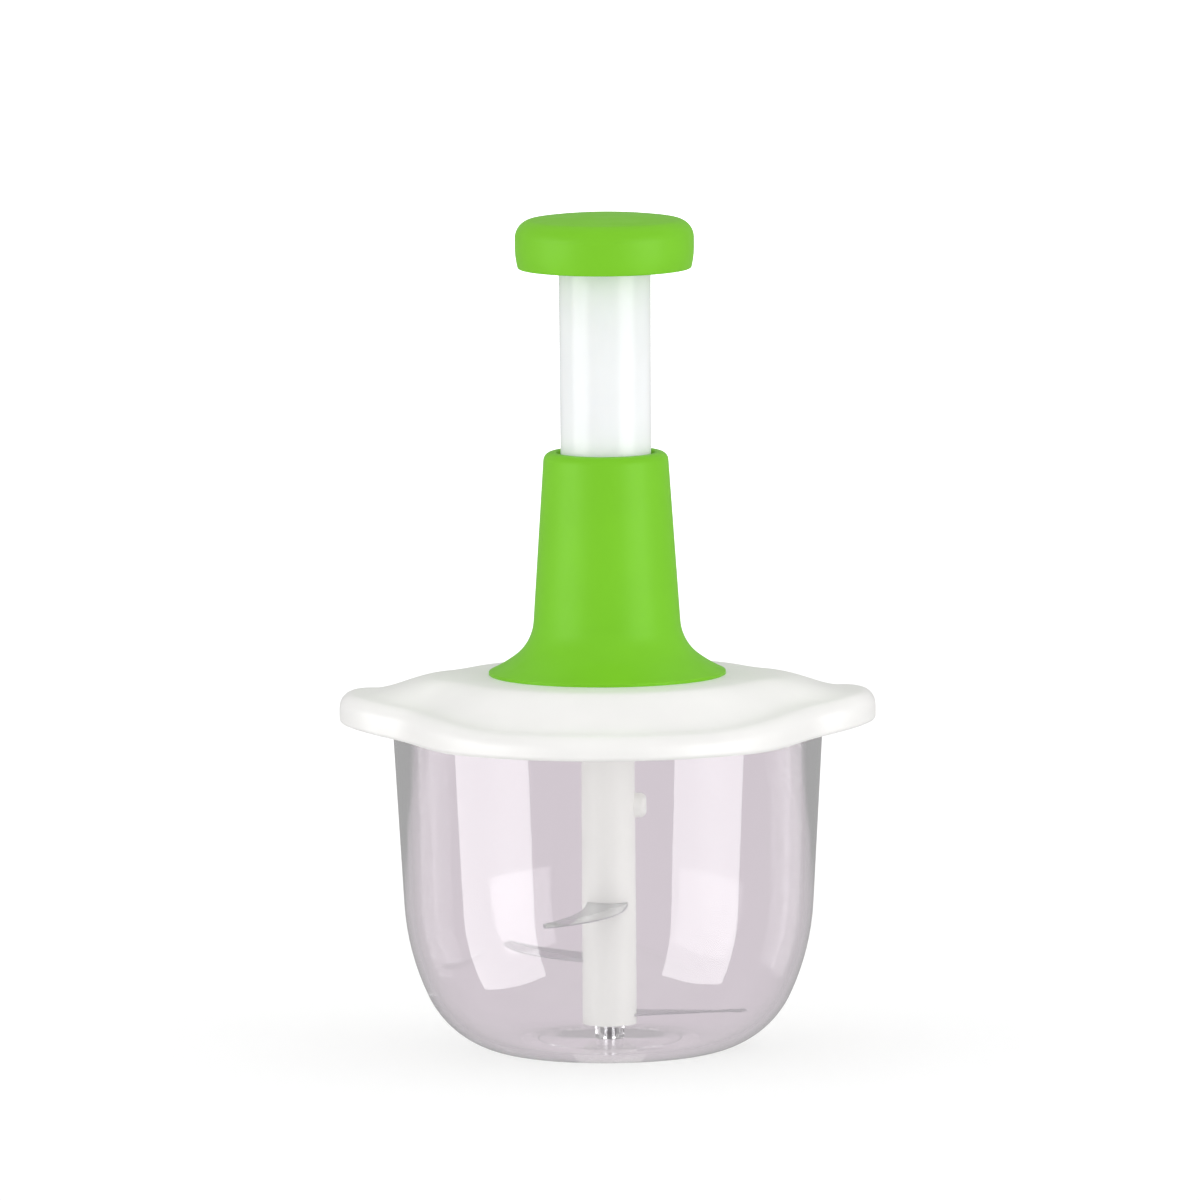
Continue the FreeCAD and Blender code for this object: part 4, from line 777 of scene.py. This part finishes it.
class CHOPPER_OT_column(bpy.types.Operator):
    """Turn the green column with its flared foot, ring seat and rounded mouth"""

    bl_idname = "chopper.column"
    bl_label = "Column"

    def execute(self, context):
        size = context.scene.chopper_column
        low, high = (corner[2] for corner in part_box("column"))
        centre, meet, neck = self.flare(size, 0)
        _, inner_meet, inner_neck = self.flare(size, size.wall)
        lower = size.skirt_radius + size.wall
        edge = centre[1] - sqrt(size.skirt_radius**2 - (centre[0] - size.base) ** 2)
        foot = centre[0] - sqrt(lower**2 - centre[1] ** 2)
        top = high - low
        ring_top = top - size.mouth_lip
        ring_foot = ring_top - size.ring_length
        mouth = neck[0] - (top - neck[1]) * tan(size.draft)
        throat = inner_neck[0] - (ring_foot - inner_neck[1]) * tan(size.draft)
        piece = turn_piece("green_column", [
            (foot, 0), (size.base, 0), (size.base, edge, -size.skirt_radius),
            (*meet, -size.flare_radius), neck, (mouth, top),
            (size.mouth_radius, top), (size.mouth_radius, ring_top),
            (size.ring_seat, ring_top), (size.ring_seat, ring_foot), (throat, ring_foot),
            (*inner_neck, size.flare_radius + size.wall), (*inner_meet, lower),
        ], low)
        round_rings(piece, [
            (mouth, high, size.mouth_round), (size.mouth_radius, high, size.mouth_edge),
            (size.base, low + edge, size.edge_break / 2),
        ], 7)
        hand_over(piece, "green", "lid", "green_plastic", "column")
        return {"FINISHED"}

    @staticmethod
    def flare(size, inset):
        """Centre of the lower curve, where the curves meet, and the neck."""
        turn = size.draft + size.flare_sweep
        upper = size.flare_radius + inset
        centre_x = size.neck_radius + size.flare_radius * cos(size.draft)
        centre_z = size.neck_height + size.flare_radius * sin(size.draft)
        step = size.skirt_radius - size.flare_radius
        return (
            (centre_x + step * cos(turn), centre_z + step * sin(turn)),
            (centre_x - upper * cos(turn), centre_z - upper * sin(turn)),
            (centre_x - upper * cos(size.draft), centre_z - upper * sin(size.draft)),
        )


class CHOPPER_OT_tube(bpy.types.Operator):
    """Turn the white plunger tube with its stop flange and clip groove"""

    bl_idname = "chopper.tube"
    bl_label = "Plunger tube"

    def execute(self, context):
        size = context.scene.chopper_column
        low, high = (corner[2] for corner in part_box("plunger_tube"))
        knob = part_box("knob")[0][2]
        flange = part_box("guide_ring")[0][2] - size.flange_gap
        clip, clip_top = (corner[2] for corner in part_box("retaining_clip"))
        groove, groove_top = clip - size.groove_play, clip_top + size.groove_play
        depth = size.tube_radius - size.groove_depth
        piece = turn_piece("plunger_tube_white", [
            (size.tube_bore, low), (size.flange_radius, low), (size.flange_radius, flange),
            (size.tube_foot, flange), (size.tube_radius, knob),
            (size.tube_radius, groove), (depth, groove), (depth, groove_top),
            (size.tube_radius, groove_top), (size.tube_radius, high), (size.tube_bore, high),
        ])
        round_rings(piece, [
            (size.flange_radius, low, size.edge_break), (size.flange_radius, flange, size.edge_break),
            (size.tube_radius, high, size.edge_break),
        ])
        hand_over(piece, "tube", "plunger", "white_plastic", "plunger_tube")
        return {"FINISHED"}


class CHOPPER_OT_knob(bpy.types.Operator):
    """Turn the green knob: bulging side, rounded shoulder and shallow crown"""

    bl_idname = "chopper.knob"
    bl_label = "Knob"

    def execute(self, context):
        size = context.scene.chopper_knob
        low, high = (corner[2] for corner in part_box("knob"))
        top = high - low
        shoulder_x = size.radius - size.shoulder
        lean = asin(shoulder_x / (size.crown - size.shoulder))
        shoulder_z = top - size.crown + (size.crown - size.shoulder) * cos(lean)
        inner = size.shoulder - size.wall
        across, up = sin(lean), cos(lean)
        piece = turn_piece("green_knob", [
            (size.radius - size.wall, 0),
            (size.radius - size.tuck, 0, size.side_radius),
            (size.radius, size.waist), (size.radius, shoulder_z, size.shoulder),
            (shoulder_x + size.shoulder * across, shoulder_z + size.shoulder * up, size.crown),
            (0, top), (0, top - size.wall, size.wall - size.crown),
            (shoulder_x + inner * across, shoulder_z + inner * up, -inner),
            (size.radius - size.wall, shoulder_z),
        ], low)
        round_rings(piece, [
            (size.radius - size.tuck, low, size.edge_break),
            (size.radius - size.wall, low, size.edge_break / 2),
        ])
        hand_over(piece, "green", "plunger", "green_plastic", "knob")
        return {"FINISHED"}


class CHOPPER_OT_blades(bpy.types.Operator):
    """Extrude the three blades from root to tip, with their ground bevel"""

    bl_idname = "chopper.blades"
    bl_label = "Blades"

    STATIONS = 24  # sections along a blade
    BEVEL_START = 6  # the bevel reaches its full size at one part in six
    WIDEST_BEVEL = 0.7  # of a blade's width
    BROKEN_EDGE = (0.1 * MM, 0.02 * MM)  # width and depth of the edge where there is no bevel

    def execute(self, context):
        size = context.scene.chopper_blades
        for index, (node, reach) in enumerate((
            ("blade_lower", size.reach_lower),
            ("blade_middle", size.reach_middle),
            ("blade_upper", size.reach_upper),
        )):
            piece = skin_rings(node + "_steel", self.sections(size, reach), caps=True)
            edit_all()
            turn = size.turn + index * tau / 3
            bpy.ops.transform.rotate(value=-turn, orient_axis="Z", center_override=(0, 0, 0))
            bpy.ops.transform.translate(value=(0, 0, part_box(node)[0][2]))
            bpy.ops.object.mode_set(mode="OBJECT")
            hand_over(piece, "blade", "blade_rotor", "blade_steel", node, smooth=12)
            piece.data.materials.append(FINISHES["bevel"])
            for face in piece.data.polygons:
                if 0.05 < face.normal.z < 0.995:  # neither upright nor level
                    face.material_index = 1
        return {"FINISHED"}

    @classmethod
    def sections(cls, size, reach):
        """Five-point sections from the root to the tip: edge, bevel and back."""
        half, tip_x = size.root / 2, sqrt(reach**2 - size.sweep**2)
        front_ends = Vector((tip_x, -size.sweep)), Vector((size.neck, half))
        back_ends = Vector((size.neck, -half)), Vector((tip_x - size.tip, -size.sweep - size.tip / 2))
        fronts = [front_ends[0], *arc_points(*front_ends, size.edge_radius), front_ends[1]][::-1]
        backs = [back_ends[0], *arc_points(*back_ends, -size.back_radius), back_ends[1]]
        sections = [(Vector((size.seat, half)), Vector((size.seat, -half)), 0)]
        for station in range(cls.STATIONS + 1):
            share = station / cls.STATIONS
            ground = min(1, share * cls.BEVEL_START)
            sections.append((along(fronts, share), along(backs, share), ground))
        rings = []
        for front, back, ground in sections:
            across = back - front
            width = min(size.bevel_width * ground, across.length * cls.WIDEST_BEVEL) + cls.BROKEN_EDGE[0]
            ridge = front + across.normalized() * width
            top = size.thickness
            edge = top - size.bevel_depth * ground - cls.BROKEN_EDGE[1]
            rings.append([
                (front.x, front.y, 0), (front.x, front.y, edge), (ridge.x, ridge.y, top),
                (back.x, back.y, top), (back.x, back.y, 0),
            ])
        return rings


def along(points, share):
    """The place at a share of the way along points that are evenly apart."""
    spot = share * (len(points) - 1)
    index = min(int(spot), len(points) - 2)
    return points[index].lerp(points[index + 1], spot - index)


class CHOPPER_OT_spring(bpy.types.Operator):
    """Wind the return spring from a round wire"""

    bl_idname = "chopper.spring"
    bl_label = "Return spring"

    def execute(self, context):
        size = context.scene.chopper_blades
        low, high = (corner[2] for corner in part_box("return_spring"))
        clear_selection()
        bpy.ops.mesh.primitive_circle_add(
            vertices=14, radius=size.wire_radius, rotation=(pi / 2, 0, 0),
            location=(size.coil_radius, 0, low + size.wire_radius),
        )
        piece = context.object
        piece.name = piece.data.name = "return_spring_wire"
        bpy.ops.object.transform_apply(location=True, rotation=True, scale=True)
        bpy.ops.object.modifier_add(type="SCREW")
        screw = piece.modifiers[-1]
        screw.iterations = size.coil_count
        screw.steps = screw.render_steps = 40
        screw.screw_offset = (high - low - 2 * size.wire_radius) / size.coil_count
        bpy.ops.object.modifier_apply(modifier=screw.name)
        edit_all()
        bpy.ops.mesh.fill_holes(sides=0)
        close_mesh()
        hand_over(piece, "spring", "lid", "spring_steel", "return_spring", smooth=50)
        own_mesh(piece)
        return {"FINISHED"}


class CHOPPER_OT_stage(bpy.types.Operator):
    """Set up the pale floor with its curved backdrop, the soft lamps, the world and the camera"""

    bl_idname = "chopper.stage"
    bl_label = "Stage"

    def execute(self, context):
        self.backdrop()
        self.world(context.scene)
        for name, azimuth, elevation, size, power in (
            ("left softbox", -66, -8, (1.7, 2.4), 10),
            ("right softbox", 56, -8, (1.5, 2.4), 16),
        ):
            self.softbox(name, radians(azimuth), radians(elevation), size, power)
        self.camera(context.scene)
        context.scene.view_settings.view_transform = "Standard"
        return {"FINISHED"}

    @staticmethod
    def backdrop():
        """A plane whose back edge is extruded upwards and rounded."""
        clear_selection()
        bpy.ops.mesh.primitive_plane_add(size=18)
        floor = bpy.context.object
        floor.name = "floor"
        edit_all()
        select_edges(floor, lambda place: place.y > 0)
        bpy.ops.mesh.extrude_region_move(TRANSFORM_OT_translate={"value": (0, 0, 6)})
        select_edges(floor, lambda place: place.y > 0 and place.z < 1)
        bpy.ops.mesh.bevel(offset=2, segments=16, affect="EDGES")
        bpy.ops.object.mode_set(mode="OBJECT")
        bpy.ops.object.shade_smooth()
        floor.visible_glossy = False
        material, tree, shader, place = new_material("pale card", {
            "Base Color": rgba(linear("#F2F2F2")), "Roughness": 0.9, "Specular IOR Level": 0.1,
            "Emission Color": WHITE,
        })
        rays = add_node(tree, "ShaderNodeLightPath").outputs
        depth = add_node(tree, "ShaderNodeSeparateXYZ", links={"Vector": place})
        lift = add_node(
            tree, "ShaderNodeMapRange", {"From Min": 0.3, "From Max": 3.0, "To Min": 0.16, "To Max": 1.0},
            {"Value": depth.outputs["Y"]},
        )
        seen = add_node(
            tree, "ShaderNodeMath", {"operation": "MULTIPLY"},
            {"Value": lift.outputs["Result"], "Value_001": rays["Is Camera Ray"]},
        )
        tree.links.new(seen.outputs[0], shader.inputs["Emission Strength"])
        # Painted shade: rays through clear plastic see the card glow a flat lilac grey instead of its lit
        # pale tone.
        tone = rgba(linear(SHADE_SEEN_THROUGH))
        painted_shade_beyond = add_node(tree, "ShaderNodeEmission", {"Color": tone, "Strength": 1.0})
        show_where(tree, rays["Is Transmission Ray"], shader, painted_shade_beyond)
        floor.data.materials.append(material)

    @staticmethod
    def world(scene):
        """White behind the object and dimmer in front of it, where the room is dark."""
        scene.world = bpy.data.worlds.new("studio")
        scene.world.use_nodes = True
        tree = scene.world.node_tree
        tree.nodes.clear()
        direction = add_node(tree, "ShaderNodeTexCoord").outputs["Generated"]
        parts = add_node(tree, "ShaderNodeSeparateXYZ", links={"Vector": direction})
        rays = add_node(tree, "ShaderNodeLightPath").outputs
        ahead = add_node(
            tree, "ShaderNodeMapRange", {"From Min": -0.15, "From Max": 0.25, "To Min": 0.3, "To Max": 1.0},
            {"Value": parts.outputs["Y"]},
        )
        shine = add_node(
            tree, "ShaderNodeMapRange", {"To Min": 1.0, "To Max": 0.4}, {"Value": rays["Is Glossy Ray"]},
        )
        strength = add_node(
            tree, "ShaderNodeMath", {"operation": "MULTIPLY"},
            {"Value": ahead.outputs["Result"], "Value_001": shine.outputs["Result"]},
        )
        glow = add_node(tree, "ShaderNodeBackground", {"Color": WHITE, "Strength": 0.97})
        seen = add_node(tree, "ShaderNodeBackground", {"Color": WHITE}, {"Strength": strength.outputs[0]})
        # Painted shade: rays through clear plastic see a flat lilac grey here instead of the white.
        tone = rgba(linear(SHADE_SEEN_THROUGH))
        painted_shade_beyond = add_node(tree, "ShaderNodeBackground", {"Color": tone, "Strength": 1.0})
        view = any_of(tree, rays["Is Camera Ray"], rays["Is Glossy Ray"], rays["Is Transmission Ray"])
        add_node(tree, "ShaderNodeOutputWorld")
        room = show_where(tree, rays["Is Transmission Ray"], seen, painted_shade_beyond)
        show_where(tree, view, glow, room)

    @staticmethod
    def softbox(name, azimuth, elevation, size, power):
        """A rectangular lamp two metres away, and its cloth, which only shows in the gloss."""
        middle = Vector((0, 0, 0.13))
        place = middle + 2 * Vector((
            sin(azimuth) * cos(elevation),
            -cos(azimuth) * cos(elevation),
            sin(elevation),
        ))
        facing = (middle - place).to_track_quat("-Z", "Y").to_euler()
        clear_selection()
        bpy.ops.object.light_add(type="AREA", location=place, rotation=facing)
        lamp = bpy.context.object
        lamp.name = name
        lamp.data.shape = "RECTANGLE"
        lamp.data.size, lamp.data.size_y = size
        lamp.data.energy = power
        lamp.visible_glossy = False
        clear_selection()
        bpy.ops.mesh.primitive_plane_add(size=1, location=place, rotation=facing)
        cloth = bpy.context.object
        cloth.name = name + " front"
        bpy.ops.transform.resize(value=(*size, 1), orient_type="LOCAL")
        for share in ("camera", "diffuse", "transmission", "shadow"):
            setattr(cloth, "visible_" + share, False)
        black = (0, 0, 0, 1)
        settings = {"Base Color": black, "Emission Color": WHITE, "Emission Strength": 4.6}
        cloth.data.materials.append(new_material(cloth.name, settings)[0])

    @staticmethod
    def camera(scene):
        """A long lens seven metres away, slightly above the object."""
        clear_selection()
        distance, width = 7.0, 0.3857
        elevation, roll = radians(6.6), radians(0.4)
        aim = Vector((-0.0022, 0, 0.1460))
        back = Vector((0, -cos(elevation), sin(elevation)))
        bpy.ops.object.camera_add(location=aim + back * distance)
        camera = bpy.context.object
        turn = (-back).to_track_quat("-Z", "Y").to_matrix()
        camera.rotation_euler = (turn @ Matrix.Rotation(-roll, 3, "Z")).to_euler()
        camera.data.sensor_width = 36
        camera.data.lens = camera.data.sensor_width * distance / width
        camera.data.clip_end = 60
        scene.camera = camera


# ---------------- sidebar and run


STEPS = (
    CHOPPER_OT_stage, CHOPPER_OT_finishes, CHOPPER_OT_bowl, CHOPPER_OT_lid, CHOPPER_OT_column,
    CHOPPER_OT_tube, CHOPPER_OT_knob, CHOPPER_OT_blades, CHOPPER_OT_spring,
)


class VIEW3D_PT_chopper(bpy.types.Panel):
    """Steps, sizes and colours of the food chopper"""

    bl_label = "Food chopper"
    bl_idname = "VIEW3D_PT_chopper"
    bl_space_type = "VIEW_3D"
    bl_region_type = "UI"
    bl_category = "Chopper"

    def draw(self, context):
        for step in STEPS:
            self.layout.operator(step.bl_idname)
        for name in PIECE_GROUPS:
            group = getattr(context.scene, name)
            box = self.layout.box()
            for key in group.bl_rna.properties.keys():
                if key not in ("rna_type", "name"):
                    box.prop(group, key)


def register():
    """Register the groups, the operators and the panel."""
    for name, group in PIECE_GROUPS.items():
        bpy.utils.register_class(group)
        setattr(bpy.types.Scene, name, bpy.props.PointerProperty(type=group))
    for step in (*STEPS, VIEW3D_PT_chopper):
        bpy.utils.register_class(step)


def unregister():
    """Take them out again."""
    for step in (*STEPS, VIEW3D_PT_chopper):
        bpy.utils.unregister_class(step)
    for name, group in PIECE_GROUPS.items():
        delattr(bpy.types.Scene, name)
        bpy.utils.unregister_class(group)


def main():
    """Make everything in order."""
    register()
    for step in STEPS:
        family, action = step.bl_idname.split(".")
        getattr(getattr(bpy.ops, family), action)()


if __name__ == "__main__":
    main()
